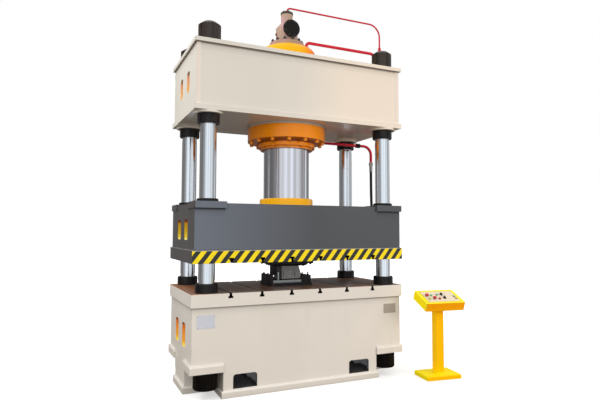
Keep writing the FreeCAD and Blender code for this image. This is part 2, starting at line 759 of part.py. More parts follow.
def make_table_plate(d):
    body = new_body("bolster_plate")
    half_width = d.table_width / 2
    half_depth = d.table_depth / 2
    low = d.table_height - d.table_thickness
    outline = rectangle(-half_width, half_width, -half_depth, half_depth)
    add(body, TOP, [outline], low, d.table_height)
    bevel(body, d.table_bevel, at_level(d.table_height))
    cut(body, FRONT, t_slots(d, d.table_height, -1), -half_depth, half_depth)
    bores = circles(column_places(d), d.column_seat_diameter + d.running_gap * 2)
    cut(body, TOP, bores, low, d.table_height)


# Crown

def make_crown(d):
    body = new_body("crown")
    half_width = d.crown_width / 2
    half_depth = d.crown_depth / 2
    sole_top = d.crown_bottom + d.crown_sole_thickness
    cap_bottom = d.crown_top - d.wall
    lip = d.crown_sole_overhang
    sole = rectangle(-half_width - lip, half_width + lip, -half_depth - lip, half_depth + lip)
    add(body, TOP, [sole], d.crown_bottom, sole_top)
    pad_foot = d.crown_bottom - d.crown_pad_height
    pads = circles(column_places(d), d.crown_pad_diameter)
    pads.append(Circle(0, 0, d.flange_pad_diameter / 2))
    add(body, TOP, pads, pad_foot, d.crown_bottom)
    box = rectangle(-half_width, half_width, -half_depth, half_depth)
    add(body, TOP, [box], sole_top, cap_bottom)
    lip = d.crown_cap_overhang
    cap = rectangle(-half_width - lip, half_width + lip, -half_depth - lip, half_depth + lip)
    add(body, TOP, [cap], cap_bottom, d.crown_top)

    inner = d.crown_tube_diameter / 2 + d.web / 2
    end_inner = half_width - d.wall * 7
    row_far = half_depth - d.wall
    rows = both_ways(d.web / 2, row_far)
    tube = [rectangle(-inner, inner, -row_far, row_far), Circle(0, 0, d.crown_tube_diameter / 2)]
    cut(body, TOP, tube, sole_top, cap_bottom)
    cells = grid(both_ways(inner + d.wall, end_inner - d.wall), rows)
    cells += grid(both_ways(end_inner, half_width - d.wall),
                  both_ways(d.web / 2, half_depth - d.housing_depth - d.web))
    cut(body, TOP, cells, sole_top, cap_bottom)
    slots = side_slots(d, d.crown_slot_bottom, d.crown_slot_top, d.crown_slot_width)
    cut_side_walls(body, slots, half_width, d.wall)

    gap = d.running_gap * 2
    cut(body, TOP, circles(column_places(d), d.column_diameter + gap), pad_foot, d.crown_bottom)
    cut(body, TOP, circles(column_places(d), d.column_seat_diameter + gap), d.crown_bottom,
        d.crown_top)
    cut(body, TOP, [Circle(0, 0, (d.barrel_diameter + gap) / 2)], pad_foot, d.crown_top)
    bolts = circles(on_circle(d.flange_bolt_circle, FLANGE_BOLTS, FLANGE_BOLT_PHASE),
                    d.flange_bolt_diameter + gap)
    cut(body, TOP, bolts, pad_foot, d.crown_bottom + d.flange_bolt_grip)


# Slide

def make_slide_frame(d):
    body = new_body("slide_frame")
    half_width = d.slide_width / 2
    half_depth = d.slide_depth / 2
    foot = d.slide_bottom + d.face_thickness
    top = foot + d.slide_height
    boss_top = top + d.boss_rise
    box = rectangle(-half_width, half_width, -half_depth, half_depth)
    add(body, TOP, [box], foot, top)
    bosses = []
    for x, y in column_places(d):
        side = d.boss_width / 2
        end = d.boss_depth / 2
        bosses.append(rectangle(x - side, x + side, y - end, y + end))
    add(body, TOP, bosses, foot + d.boss_bottom, boss_top)

    inner = d.seat_tube_diameter / 2 + d.web * 2
    end_inner = half_width - d.boss_width + d.wall
    row_far = half_depth - d.wall
    tube = [rectangle(-inner, inner, -row_far, row_far), Circle(0, 0, d.seat_tube_diameter / 2)]
    cut(body, TOP, tube, foot, top - d.wall)
    cells = grid(both_ways(inner + d.wall, end_inner - d.wall), both_ways(d.web / 2, row_far))
    cells += grid(both_ways(end_inner, half_width - d.wall),
                  both_ways(d.web / 2, d.column_spacing_y / 2 - d.boss_depth / 2 + d.web / 2))
    cut(body, TOP, cells, foot, top - d.wall)
    cut(body, TOP, [Circle(0, 0, d.seat_tube_bore / 2)], foot, top - d.wall)
    slots = side_slots(d, foot + d.slide_slot_bottom, foot + d.slide_slot_top, d.slide_slot_width)
    cut_side_walls(body, slots, half_width, d.wall)

    gap = d.running_gap * 2
    bush_foot = boss_top - d.bush_length
    cut(body, TOP, circles(column_places(d), d.column_clearance), foot, bush_foot)
    cut(body, TOP, circles(column_places(d), d.bush_diameter + gap), bush_foot, boss_top)
    cut(body, TOP, [Circle(0, 0, (d.ram_spigot_diameter + gap) / 2)], top - d.wall, top)
    bolts = circles(on_circle(d.ring_bolt_circle, RING_BOLTS, RING_BOLT_PHASE),
                    d.ring_bolt_diameter + gap)
    cut(body, TOP, bolts, top - d.ring_bolt_grip, top)


def make_face_plate(d):
    body = new_body("slide_face_plate")
    half_width = d.face_width / 2
    half_depth = d.face_depth / 2
    top = d.slide_bottom + d.face_thickness
    outline = rectangle(-half_width, half_width, -half_depth, half_depth)
    add(body, TOP, [outline], d.slide_bottom, top)
    bevel(body, d.table_bevel, at_level(top))
    cut(body, FRONT, t_slots(d, d.slide_bottom, 1), -half_depth, half_depth)
    cut(body, TOP, circles(column_places(d), d.column_clearance), d.slide_bottom, top)


def make_guides(d):
    places = column_places(d)
    bore = d.column_diameter + d.running_gap * 2
    boss_top = d.slide_bottom + d.face_thickness + d.slide_height + d.boss_rise
    bushes = new_body("guide_bushes")
    outlines = circles(places, d.bush_diameter) + circles(places, bore)
    add(bushes, TOP, outlines, boss_top - d.bush_length, boss_top)
    wipers = new_body("wiper_rings")
    wiper_top = boss_top + d.wiper_height
    outlines = circles(places, d.wiper_diameter) + circles(places, bore)
    add(wipers, TOP, outlines, boss_top, wiper_top)
    bevel(wipers, d.nut_bevel, rim_at(wiper_top, d.wiper_diameter))


# Main cylinder, gland and ram

def make_main_cylinder(d):
    body = new_body("main_cylinder")
    bore = d.bore_diameter / 2
    barrel = d.barrel_diameter / 2
    flange = d.flange_diameter / 2
    passage = d.passage_diameter / 2
    flange_top = d.crown_bottom - d.crown_pad_height
    flange_bottom = flange_top - d.flange_thickness
    shoulder_top = d.shoulder_level + d.shoulder_radius
    turn(body, [
        Corner(bore, flange_bottom), Corner(flange, flange_bottom), Corner(flange, flange_top),
        Corner(barrel, flange_top), Corner(barrel, d.shoulder_level, d.shoulder_radius),
        Corner(barrel - d.shoulder_radius, shoulder_top),
        Corner(d.cylinder_top_diameter / 2, d.cylinder_top), Corner(passage, d.cylinder_top),
        Corner(passage, d.bore_top), Corner(bore - d.bore_corner, d.bore_top, d.bore_corner, -1),
        Corner(bore, d.bore_top - d.bore_corner),
    ])
    pressure_boss = Circle(d.pressure_pipe_start, 0, d.pressure_boss_diameter / 2)
    add(body, TOP, [pressure_boss], d.shoulder_level, d.pressure_boss_top)
    return_boss = Circle(d.return_pipe_offset, d.return_pipe_level, d.return_boss_diameter / 2)
    inside_flange = barrel + d.wall
    add(body, SIDE, [return_boss], inside_flange, d.return_pipe_start)
    gap = d.running_gap * 2
    bolts = circles(on_circle(d.flange_bolt_circle, FLANGE_BOLTS, FLANGE_BOLT_PHASE),
                    d.flange_bolt_diameter + gap)
    cut(body, TOP, bolts, flange_bottom, flange_top)
    studs = circles(on_circle(d.valve_bolt_circle, VALVE_BOLTS), d.valve_bolt_diameter + gap)
    cut(body, TOP, studs, d.cylinder_top - d.valve_stud_grip, d.cylinder_top)


def make_cylinder_bolts(d):
    body = new_body("cylinder_bolts")
    places = on_circle(d.flange_bolt_circle, FLANGE_BOLTS, FLANGE_BOLT_PHASE)
    flange_bottom = d.crown_bottom - d.crown_pad_height - d.flange_thickness
    head_bottom = flange_bottom - d.flange_bolt_head_height
    add(body, TOP, circles(places, d.flange_bolt_head), head_bottom, flange_bottom)
    add(body, TOP, circles(places, d.flange_bolt_diameter), flange_bottom,
        d.crown_bottom + d.flange_bolt_grip - d.running_gap)


def make_gland(d):
    body = new_body("gland")
    inside = d.ram_diameter / 2 + d.running_gap
    groove = inside + d.seal_groove_depth
    gland = d.gland_diameter / 2
    step = d.gland_step_diameter / 2
    spigot = d.bore_diameter / 2 - d.running_gap
    flange_bottom = d.crown_bottom - d.crown_pad_height - d.flange_thickness
    bottom = flange_bottom - d.gland_height
    step_top = bottom + d.gland_step_height
    top = flange_bottom + d.gland_spigot
    seal_foot = flange_bottom + d.seal_height / 2
    turn(body, steps(
        (groove, bottom), (step, bottom), (step, step_top), (gland, step_top),
        (gland, flange_bottom), (spigot, flange_bottom), (spigot, top), (inside, top),
        (inside, seal_foot + d.seal_height), (groove, seal_foot + d.seal_height),
        (groove, seal_foot), (inside, seal_foot), (inside, step_top), (groove, step_top)))

    seals = new_body("gland_seals")
    outside = groove - d.running_gap
    add(seals, TOP, [Circle(0, 0, outside), Circle(0, 0, inside)],
        seal_foot + d.running_gap, seal_foot + d.seal_height - d.running_gap)
    add(seals, TOP, [Circle(0, 0, outside), Circle(0, 0, inside)],
        bottom + d.running_gap, step_top - d.running_gap)


def make_ram(d):
    body = new_body("ram")
    ram = d.ram_diameter / 2
    piston = d.bore_diameter / 2 - d.running_gap
    ring_groove = piston - d.piston_ring_depth
    hollow = d.ram_bore_diameter / 2
    spigot = d.ram_spigot_diameter / 2
    seat = d.slide_bottom + d.face_thickness + d.slide_height
    groove_foot = seat + d.ram_groove_rise
    groove_top = groove_foot + d.ram_groove_height
    neck = ram - d.ram_groove_depth
    piston_foot = d.ram_top - d.piston_height
    lower_ring = piston_foot + d.piston_ring_height * 2
    upper_ring = d.ram_top - d.piston_ring_height * 3
    rings = []
    for foot in (lower_ring, upper_ring):
        top = foot + d.piston_ring_height
        rings += [(piston, foot), (ring_groove, foot), (ring_groove, top), (piston, top)]
    turn(body, steps(
        (0, seat - d.wall), (spigot, seat - d.wall), (spigot, seat), (ram, seat),
        (ram, groove_foot), (neck, groove_foot), (neck, groove_top), (ram, groove_top),
        (ram, piston_foot), (piston, piston_foot), *rings, (piston, d.ram_top),
        (hollow, d.ram_top), (hollow, d.ram_bore_bottom), (0, d.ram_bore_bottom)))

    seals = new_body("piston_seals")
    band = [Circle(0, 0, piston), Circle(0, 0, ring_groove + d.running_gap)]
    for foot in (lower_ring, upper_ring):
        low = foot + d.running_gap
        add(seals, TOP, band, low, foot + d.piston_ring_height - d.running_gap)


def make_ram_ring(d):
    body = new_body("ram_ring")
    outside = d.ram_ring_diameter / 2
    inside = d.ram_diameter / 2 + d.running_gap
    rib = inside - d.ram_groove_depth
    seat = d.slide_bottom + d.face_thickness + d.slide_height
    top = seat + d.ram_ring_height
    rib_foot = seat + d.ram_groove_rise + d.running_gap
    rib_top = rib_foot + d.ram_groove_height - d.running_gap * 2
    edge = d.nut_bevel
    turn(body, steps(
        (inside, seat), (outside, seat), (outside, top - edge), (outside - edge, top),
        (inside, top), (inside, rib_top), (rib, rib_top), (rib, rib_foot), (inside, rib_foot)))
    split = rectangle(-outside, outside, -d.ring_split / 2, d.ring_split / 2)
    cut(body, TOP, [split], seat, top)
    places = on_circle(d.ring_bolt_circle, RING_BOLTS, RING_BOLT_PHASE)
    sunk = top - d.ring_bolt_head_height
    gap = d.running_gap * 2
    cut(body, TOP, circles(places, d.ring_bolt_diameter + gap), seat, sunk)
    cut(body, TOP, circles(places, d.ring_bolt_head + gap), sunk, top)

    bolts = new_body("ram_ring_bolts")
    low = seat - d.ring_bolt_grip + d.running_gap
    add(bolts, TOP, circles(places, d.ring_bolt_diameter), low, sunk)
    add(bolts, TOP, circles(places, d.ring_bolt_head), sunk, top)


# Prefill valve

def make_valve_body(d):
    body = new_body("prefill_valve_body")
    flange = d.valve_flange_diameter / 2
    outside = d.valve_body_diameter / 2
    neck = d.valve_neck_diameter / 2
    seat = d.valve_seat_bore / 2
    chamber = d.valve_chamber_diameter / 2
    pilot = d.pilot_bore_diameter / 2
    stem = d.stem_diameter / 2 + d.running_gap
    low = d.cylinder_top
    flange_top = low + d.valve_flange_height
    bridge_top = d.valve_bridge_level + d.valve_bridge_height
    turn(body, steps(
        (seat, low), (flange, low), (flange, flange_top), (outside, flange_top),
        (outside, d.valve_body_top), (neck, d.valve_neck_level), (neck, d.valve_neck_top),
        (pilot, d.valve_neck_top), (pilot, d.pilot_bore_bottom), (stem, d.pilot_bore_bottom),
        (stem, d.valve_chamber_top), (chamber, d.valve_chamber_top), (chamber, bridge_top),
        (stem, bridge_top), (stem, d.valve_bridge_level), (seat, d.valve_bridge_level)))
    cover = d.port_cover_diameter / 2
    face = d.valve_port_face
    port_flange = Circle(0, d.valve_port_level, cover)
    add(body, FRONT, [port_flange], face - d.port_flange_thickness, face)
    cut(body, FRONT, [Circle(0, d.valve_port_level, d.valve_port_diameter / 2)],
        d.stem_diameter, face)
    windows = circles(on_circle(d.valve_seat_bore / 2 + d.stem_diameter / 2, 4), d.stem_diameter)
    cut(body, TOP, windows, d.valve_bridge_level, bridge_top)
    studs = circles(on_circle(d.valve_bolt_circle, VALVE_BOLTS),
                    d.valve_bolt_diameter + d.running_gap * 2)
    cut(body, TOP, studs, low, flange_top)

    cover_plate = new_body("valve_port_cover")
    add(cover_plate, FRONT, [port_flange], face, face + d.port_cover_thickness)

    cap = new_body("valve_top_cover")
    cap_top = d.valve_neck_top + d.valve_cap_height
    add(cap, TOP, [Circle(0, 0, d.valve_cap_diameter / 2)], d.valve_neck_top, cap_top)
    bevel(cap, d.table_bevel, at_level(cap_top))


def make_valve_bolts(d):
    body = new_body("valve_bolts")
    places = on_circle(d.valve_bolt_circle, VALVE_BOLTS)
    flange_top = d.cylinder_top + d.valve_flange_height
    foot = d.cylinder_top - d.valve_stud_grip + d.running_gap
    add(body, TOP, circles(places, d.valve_bolt_diameter), foot, flange_top + d.valve_stud_rise)
    add(body, TOP, circles(places, d.valve_nut_diameter), flange_top,
        flange_top + d.valve_nut_height)


def make_poppet(d):
    body = new_body("poppet")
    disc = d.poppet_diameter / 2
    stem = d.stem_diameter / 2
    collar = d.spring_collar_diameter / 2
    piston = d.pilot_bore_diameter / 2 - d.running_gap
    top = d.cylinder_top - d.poppet_rest_gap
    foot = top - d.poppet_thickness
    slant = d.poppet_thickness / 2
    collar_top = d.spring_collar_level + d.spring_collar_height
    piston_top = d.pilot_piston_level + d.pilot_piston_height
    turn(body, steps(
        (0, foot), (disc - slant, foot), (disc, foot + slant), (disc, top), (stem, top),
        (stem, d.spring_collar_level), (collar, d.spring_collar_level), (collar, collar_top),
        (stem, collar_top), (stem, d.pilot_piston_level), (piston, d.pilot_piston_level),
        (piston, piston_top), (0, piston_top)))


# Pipes, spring and hose: each is one round section led along its own path

def new_shape(name, shape):
    feature = document.addObject("Part::Feature", name)
    feature.Label = name
    feature.Shape = shape
    feature.Placement = FreeCAD.Placement(MIDDLE, FreeCAD.Rotation())


def rounded_path(points, bends):
    """Straight runs between the points, joined by tangent arcs of the given radii."""
    edges = []
    start = points[0]
    for before, corner, after, radius in zip(points, points[1:], points[2:], bends):
        inward = (before - corner).normalize()
        onward = (after - corner).normalize()
        turned = math.pi - inward.getAngle(onward)
        reach = radius * math.tan(turned / 2)
        first = corner + inward * reach
        last = corner + onward * reach
        bisector = (inward + onward).normalize()
        centre = corner + bisector * (radius / math.cos(turned / 2))
        middle = centre - bisector * radius
        edges.append(Part.LineSegment(start, first).toShape())
        edges.append(Part.Arc(first, middle, last).toShape())
        start = last
    edges.append(Part.LineSegment(start, points[-1]).toShape())
    return Part.Wire(edges)


def led_along(name, path, diameter):
    """A round section led along a path, with its volume compared with length times section."""
    start = path.OrderedVertexes[0].Point
    heading = path.OrderedEdges[0].tangentAt(path.OrderedEdges[0].FirstParameter)
    section = Part.Wire([Part.Circle(start, heading, diameter / 2).toShape()])
    solid = path.makePipeShell([section], True, False)
    expected = path.Length * math.pi * diameter ** 2 / 4
    if abs(solid.Volume / expected - 1) > 0.01:
        raise ValueError(name + " has the wrong volume")
    new_shape(name, solid)


def make_pilot_pipe(d):
    cap_top = d.valve_neck_top.number + d.valve_cap_height.number
    level = d.pilot_pipe_level.number
    drop = d.pilot_pipe_drop.number
    points = [
        FreeCAD.Vector(0, 0, cap_top), FreeCAD.Vector(0, 0, level),
        FreeCAD.Vector(drop, 0, level), FreeCAD.Vector(drop, 0, d.pipe_block_top.number),
    ]
    bends = [d.pilot_pipe_near_bend.number, d.pilot_pipe_far_bend.number]
    led_along("pilot_pipe", rounded_path(points, bends), d.pilot_pipe_diameter.number)

    body = new_body("pilot_union")
    bore = d.pilot_pipe_diameter / 2 + d.running_gap
    outlines = [Circle(0, 0, d.pilot_union_diameter / 2), Circle(0, 0, bore)]
    add(body, TOP, outlines, d.pilot_union_level, d.pilot_union_level + d.pilot_union_length)
    stand_at(body, d.pilot_pipe_drop, 0)


def make_pressure_pipe(d):
    level = d.pressure_pipe_level.number
    drop = d.pressure_pipe_drop.number
    start = d.pressure_pipe_start.number
    points = [
        FreeCAD.Vector(start, 0, d.pressure_boss_top.number), FreeCAD.Vector(start, 0, level),
        FreeCAD.Vector(drop, 0, level), FreeCAD.Vector(drop, 0, d.pipe_block_top.number),
    ]
    bends = [d.pressure_pipe_near_bend.number, d.pressure_pipe_far_bend.number]
    led_along("pressure_pipe", rounded_path(points, bends), d.pressure_pipe_diameter.number)

    body = new_body("pipe_block")
    wall_face = d.crown_width / 2
    half = d.pipe_block_width / 2
    outline = rectangle(wall_face, wall_face + d.pipe_block_reach, -half, half)
    add(body, TOP, [outline], d.pipe_block_top - d.pipe_block_height, d.pipe_block_top)


def make_return_line(d):
    offset = d.return_pipe_offset
    level = d.return_pipe_level
    drop = d.return_pipe_drop
    points = [
        FreeCAD.Vector(d.return_pipe_start.number, offset.number, level.number),
        FreeCAD.Vector(drop.number, offset.number, level.number),
        FreeCAD.Vector(drop.number, offset.number, d.return_pipe_end.number),
    ]
    path = rounded_path(points, [d.return_pipe_bend.number])
    led_along("return_pipe", path, d.return_pipe_diameter.number)

    union = new_body("return_union")
    bore = d.return_pipe_diameter / 2 + d.running_gap
    outlines = [Circle(offset, level, d.return_union_diameter / 2), Circle(offset, level, bore)]
    add(union, SIDE, outlines, d.return_union_place, d.return_union_place + d.return_union_length)

    ferrule = new_body("hose_ferrule")
    wide = d.ferrule_diameter / 2
    narrow = wide - d.nut_bevel / 2
    low = d.return_pipe_end - d.ferrule_length
    hexagon = low + d.ferrule_length * 0.6
    turn(ferrule, steps((0, low), (narrow, low), (narrow, hexagon), (wide, hexagon),
                        (wide, d.return_pipe_end), (0, d.return_pipe_end)))
    stand_at(ferrule, drop, offset)

    outlet = new_body("hose_outlet")
    x = d.hose_outlet_x
    y = d.hose_outlet_y
    wall_face = d.table_width / 2 - d.table_overhang
    half = d.outlet_block_width / 2
    block = rectangle(wall_face, x + half, y - half, y + half)
    add(outlet, TOP, [block], d.outlet_block_top - d.outlet_block_height, d.outlet_block_top)
    add(outlet, TOP, [Circle(x, y, wide)], d.outlet_block_top, d.hose_outlet_level)


def make_return_hose(d):
    """The hose leaves its ferrule straight down, swings outward and ends upright."""
    start_x = d.return_pipe_drop.number
    start_y = d.return_pipe_offset.number
    top = d.return_pipe_end.number - d.ferrule_length.number
    end_x = d.hose_outlet_x.number
    end_y = d.hose_outlet_y.number
    points = [
        FreeCAD.Vector(start_x, start_y, top),
        FreeCAD.Vector(start_x, start_y, 2111),
        FreeCAD.Vector(1276, 176, 1746),
        FreeCAD.Vector(1312, 130, 1396),
        FreeCAD.Vector(end_x, end_y, 1046),
        FreeCAD.Vector(end_x, end_y, d.hose_outlet_level.number),
    ]
    bends = []
    for before, corner, after in zip(points, points[1:], points[2:]):
        shorter = min((corner - before).Length, (after - corner).Length)
        turned = (corner - before).getAngle(after - corner)
        bends.append(0.45 * shorter / math.tan(turned / 2))
    path = rounded_path(points, bends)
    print("return_hose: length %.0f, radii" % path.Length, [round(bend) for bend in bends])
    led_along("return_hose", path, d.hose_diameter.number)


def make_poppet_spring(d):
    """An open coil between the bridge and the stem's collar."""
    wire = d.spring_wire.number
    foot = d.valve_bridge_level.number + d.valve_bridge_height.number + wire / 2
    top = d.spring_collar_level.number - wire / 2
    pitch = (top - foot) / d.spring_turns.number
    radius = d.spring_diameter.number / 2
    helix = Part.makeHelix(pitch, top - foot, radius)
    helix.translate(FreeCAD.Vector(0, 0, foot))
    start = FreeCAD.Vector(radius, 0, foot)
    heading = FreeCAD.Vector(0, 2 * math.pi * radius, pitch)
    section = Part.Wire([Part.Circle(start, heading, wire / 2).toShape()])
    print("poppet_spring: least gap between coils %.1f" % (pitch - wire))
    new_shape("poppet_spring", Part.Wire(helix.Edges).makePipeShell([section], True, True))


# Press tool

def block(name, left, right, depth, low, high):
    """A plain block, its middle on the press's front-to-back axis."""
    body = new_body(name)
    add(body, TOP, [rectangle(left, right, -depth / 2, depth / 2)], low, high)
    return body


def make_upper_tool(d):
    half = d.tool_top_width / 2
    plate_foot = d.slide_bottom - d.tool_top_plate
    block("tool_top_plate", -half, half, d.tool_depth, plate_foot, d.slide_bottom)

    adapter = new_body("tool_adapter")
    adapter_foot = plate_foot - d.adapter_height
    wide = d.adapter_width / 2 - d.adapter_taper
    deep = d.adapter_depth / 2 - d.adapter_taper
    add_tapered(adapter, TOP, [rectangle(-wide, wide, -deep, deep)], adapter_foot, plate_foot,
                -d.adapter_taper)

    punch = new_body("punch_block")
    depth = d.punch_depth / 2
    outline = steps(
        (d.punch_left, d.punch_bottom), (d.punch_right, d.punch_bottom),
        (d.punch_right, d.punch_shoulder), (d.punch_right - d.punch_slant, adapter_foot),
        (d.punch_left, adapter_foot))
    add(punch, FRONT, [outline], -depth, depth)
    rib = d.punch_rib_width / 2
    ribs = [rectangle(x - rib, x + rib, d.punch_bottom + rib, d.punch_shoulder + rib)
            for x in (d.punch_left + rib * 2, d.punch_right - rib * 3)]
    add(punch, FRONT, ribs, depth, depth + d.punch_rib_rise)

    block("side_block", d.side_block_left, d.side_block_right, d.side_block_depth,
          d.side_block_bottom, adapter_foot)


def make_lower_tool(d):
    half = d.tool_width / 2
    base_top = d.table_height + d.tool_base_thickness
    block("tool_base", -half, half, d.tool_depth, d.table_height, base_top)
    die = block("die_plate", d.die_left, d.die_right, d.die_depth, base_top,
                base_top + d.die_thickness)
    bevel(die, d.table_bevel, at_level(base_top + d.die_thickness))

    stops = new_body("tool_stops")
    back = d.stop_depth / 2
    left = rectangle(-half, d.left_stop_inner, -back, back)
    left_top = base_top + d.left_stop_height
    add(stops, TOP, [left], base_top, left_top)
    right = rectangle(d.right_stop_inner, half, -back, back)
    right_top = base_top + d.right_stop_height
    add(stops, TOP, [right], base_top, right_top)
    bevel(stops, d.nut_bevel, at_level(left_top))

    studs = new_body("tool_studs")
    edge = d.wall
    left_middle = (d.left_stop_inner - half) / 2
    add(studs, TOP, circles([(left_middle, -back + edge)], d.stud_diameter),
        left_top, d.stud_top)
    right_places = [(d.right_stop_inner + edge / 2, -back + edge), (half - edge / 2, -back + edge)]
    add(studs, TOP, circles(right_places, d.stud_diameter), right_top, d.stud_top)

    pin = new_body("guide_pin")
    die_top = base_top + d.die_thickness
    add(pin, TOP, circles([(d.guide_pin_x, d.guide_pin_y)], d.guide_pin_diameter),
        die_top, d.guide_pin_top)
    bevel(pin, d.table_bevel, at_level(d.guide_pin_top))


# Push-button stand

def make_pedestal(d):
    body = new_body("stand_pedestal")
    side = d.stand_foot_width / 2
    shift = d.stand_foot_shift
    end = d.stand_foot_depth / 2
    add(body, TOP, [rectangle(-side, side, shift - end, shift + end)], 0, d.stand_foot_height)
    bevel(body, d.stand_foot_bevel, at_level(d.stand_foot_height))
    slope = tangent(d.box_tilt)
    flat = Size(math.cos(math.radians(d.box_tilt.number)), "cos(Dims.box_tilt * 1 deg)")
    level = d.box_level + d.box_reach * slope - d.box_thickness / flat

    def post_outline(half):
        return steps((-half, d.stand_foot_height), (half, d.stand_foot_height),
                     (half, level + half * slope), (-half, level - half * slope))

    post = d.post_width / 2
    hollow = post - d.post_wall
    add(body, SIDE, [post_outline(post)], -post, post)
    cut(body, SIDE, [post_outline(hollow)], -hollow, hollow)
    stand_at(body, d.stand_x, d.stand_y)
    body.Placement.Rotation = FreeCAD.Rotation(UPWARD, d.stand_turn.number)


def place_on_slope(body, d):
    """Moves a body drawn flat, face up, to the sloping face of the box."""
    turned = FreeCAD.Rotation(UPWARD, d.stand_turn.number)
    tilted = FreeCAD.Rotation(FreeCAD.Vector(1, 0, 0), d.box_tilt.number)
    post = FreeCAD.Vector(d.stand_x.number, d.stand_y.number, 0)
    ahead = FreeCAD.Vector(0, -d.box_reach.number, d.box_level.number)
    body.Placement = FreeCAD.Placement(post + turned.multVec(ahead), turned.multiply(tilted))


def make_stand_box(d):
    body = new_body("stand_box")
    side = d.box_width / 2
    end = d.box_length / 2
    wall = d.box_wall
    deep = -d.box_thickness
    add(body, TOP, [rectangle(-side, side, -end, end)], deep, 0)
    bevel(body, d.box_corner, lambda edge: edge.BoundBox.ZLength > d.box_wall.number)
    inner = rectangle(wall - side, side - wall, wall - end, end - wall)
    cut(body, TOP, [inner], deep + wall, -wall)
    hole_side = d.panel_width / 2 - d.panel_rim
    hole_end = d.panel_length / 2 - d.panel_rim
    shift = d.panel_shift
    hole = rectangle(-hole_side, hole_side, shift - hole_end, shift + hole_end)
    cut(body, TOP, [hole], -wall, 0)
    place_on_slope(body, d)

    panel = new_body("stand_panel")
    panel_side = d.panel_width / 2
    panel_end = d.panel_length / 2
    sheet = [rectangle(-panel_side, panel_side, shift - panel_end, shift + panel_end)]
    holes = [Circle(x, y, d.control_stem / 2 + d.running_gap) for _, _, x, y in CONTROLS]
    add(panel, TOP, sheet + holes, 0, d.panel_thickness)
    place_on_slope(panel, d)


def make_controls(d):
    stem = d.control_stem / 2
    face = d.panel_thickness
    deep = -d.control_depth
    for name, kind, x, y in CONTROLS:
        body = new_body(name)
        stem_outline = [Circle(x, y, stem)]
        if kind == "mushroom":
            head = face + d.mushroom_lift
            rim = head + d.mushroom_rim
            outline = [Circle(x, y, d.mushroom_diameter / 2)]
            add(body, TOP, stem_outline, deep, head)
            add(body, TOP, outline, head, rim)
            add_tapered(body, TOP, outline, rim, rim + d.mushroom_dome, d.mushroom_dome)
        elif kind == "button":
            head = face + d.button_lift
            add(body, TOP, stem_outline, deep, head)
            add(body, TOP, [Circle(x, y, d.button_diameter / 2)], head, head + d.button_height)
        else:
            knob = face + d.running_gap
            knob_top = knob + d.knob_height
            half = d.knob_diameter / 2
            grip = d.knob_grip_width / 2
            add(body, TOP, stem_outline, deep, knob)
            add(body, TOP, [Circle(x, y, half)], knob, knob_top)
            add(body, TOP, [rectangle(x - grip, x + grip, y - half, y + half)], knob_top,
                knob_top + d.knob_grip_height)
        place_on_slope(body, d)


# Checking and writing

def is_sub_part(item):
    if item.TypeId == "PartDesign::Body":
        return True
    return item.TypeId == "Part::Feature"


def check_document():
    """Stops on any failed object, loose sketch, empty cut or bad shape."""
    for item in document.Objects:
        if "Invalid" in item.State or "Error" in item.State:
            raise ValueError("%s of %s failed" % (item.Name, item.Label))
        if item.TypeId == "Sketcher::SketchObject" and not item.FullyConstrained:
            raise ValueError(item.Name + " is not fully constrained")
        if item.TypeId == "PartDesign::Pocket":
            removed = item.BaseFeature.Shape.Volume - item.Shape.Volume
            if removed < 1:
                raise ValueError(item.Name + " cuts nothing")
    for item in filter(is_sub_part, document.Objects):
        if item.Shape.isNull() or not item.Shape.isValid():
            raise ValueError(item.Label + " has a bad shape")


def write_parts():
    os.makedirs("parts", exist_ok=True)
    for item in filter(is_sub_part, document.Objects):
        item.Shape.exportStep("parts/%s.step" % item.Label)
        print("%-26s solids %2d" % (item.Label, len(item.Shape.Solids)))


document = FreeCAD.newDocument("hydraulic_press")
dimensions = make_sheet()
make_bed_frame(dimensions)
make_table_plate(dimensions)
make_columns(dimensions)
make_nuts(dimensions)
make_crown(dimensions)
make_slide_frame(dimensions)
make_face_plate(dimensions)
make_guides(dimensions)
make_main_cylinder(dimensions)
make_cylinder_bolts(dimensions)
make_gland(dimensions)
make_ram(dimensions)
make_ram_ring(dimensions)
make_valve_body(dimensions)
make_valve_bolts(dimensions)
make_poppet(dimensions)
make_poppet_spring(dimensions)
make_pilot_pipe(dimensions)
make_pressure_pipe(dimensions)
make_return_line(dimensions)
make_return_hose(dimensions)
make_upper_tool(dimensions)
make_lower_tool(dimensions)
make_pedestal(dimensions)
make_stand_box(dimensions)
make_controls(dimensions)
document.recompute()
check_document()
write_parts()
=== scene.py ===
from functools import partialmethod, reduce
from itertools import product
from math import cos, pi, radians, sin

import bmesh
import bpy
from mathutils import Euler, Matrix, Vector


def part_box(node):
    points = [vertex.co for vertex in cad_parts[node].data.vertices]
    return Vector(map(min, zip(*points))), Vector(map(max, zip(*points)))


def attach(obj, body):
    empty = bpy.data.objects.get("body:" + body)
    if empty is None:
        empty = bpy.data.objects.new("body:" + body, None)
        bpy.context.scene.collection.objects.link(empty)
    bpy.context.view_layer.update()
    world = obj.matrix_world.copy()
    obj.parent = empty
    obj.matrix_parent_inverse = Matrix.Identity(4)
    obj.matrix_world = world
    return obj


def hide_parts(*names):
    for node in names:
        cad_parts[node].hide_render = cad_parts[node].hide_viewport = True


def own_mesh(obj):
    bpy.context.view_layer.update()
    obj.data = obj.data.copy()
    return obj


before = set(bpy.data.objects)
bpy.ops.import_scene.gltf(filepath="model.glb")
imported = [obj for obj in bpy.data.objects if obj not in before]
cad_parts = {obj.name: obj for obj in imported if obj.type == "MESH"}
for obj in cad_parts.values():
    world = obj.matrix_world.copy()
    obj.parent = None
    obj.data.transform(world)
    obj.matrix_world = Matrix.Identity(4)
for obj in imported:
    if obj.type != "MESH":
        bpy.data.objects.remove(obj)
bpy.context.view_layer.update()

# --- camera

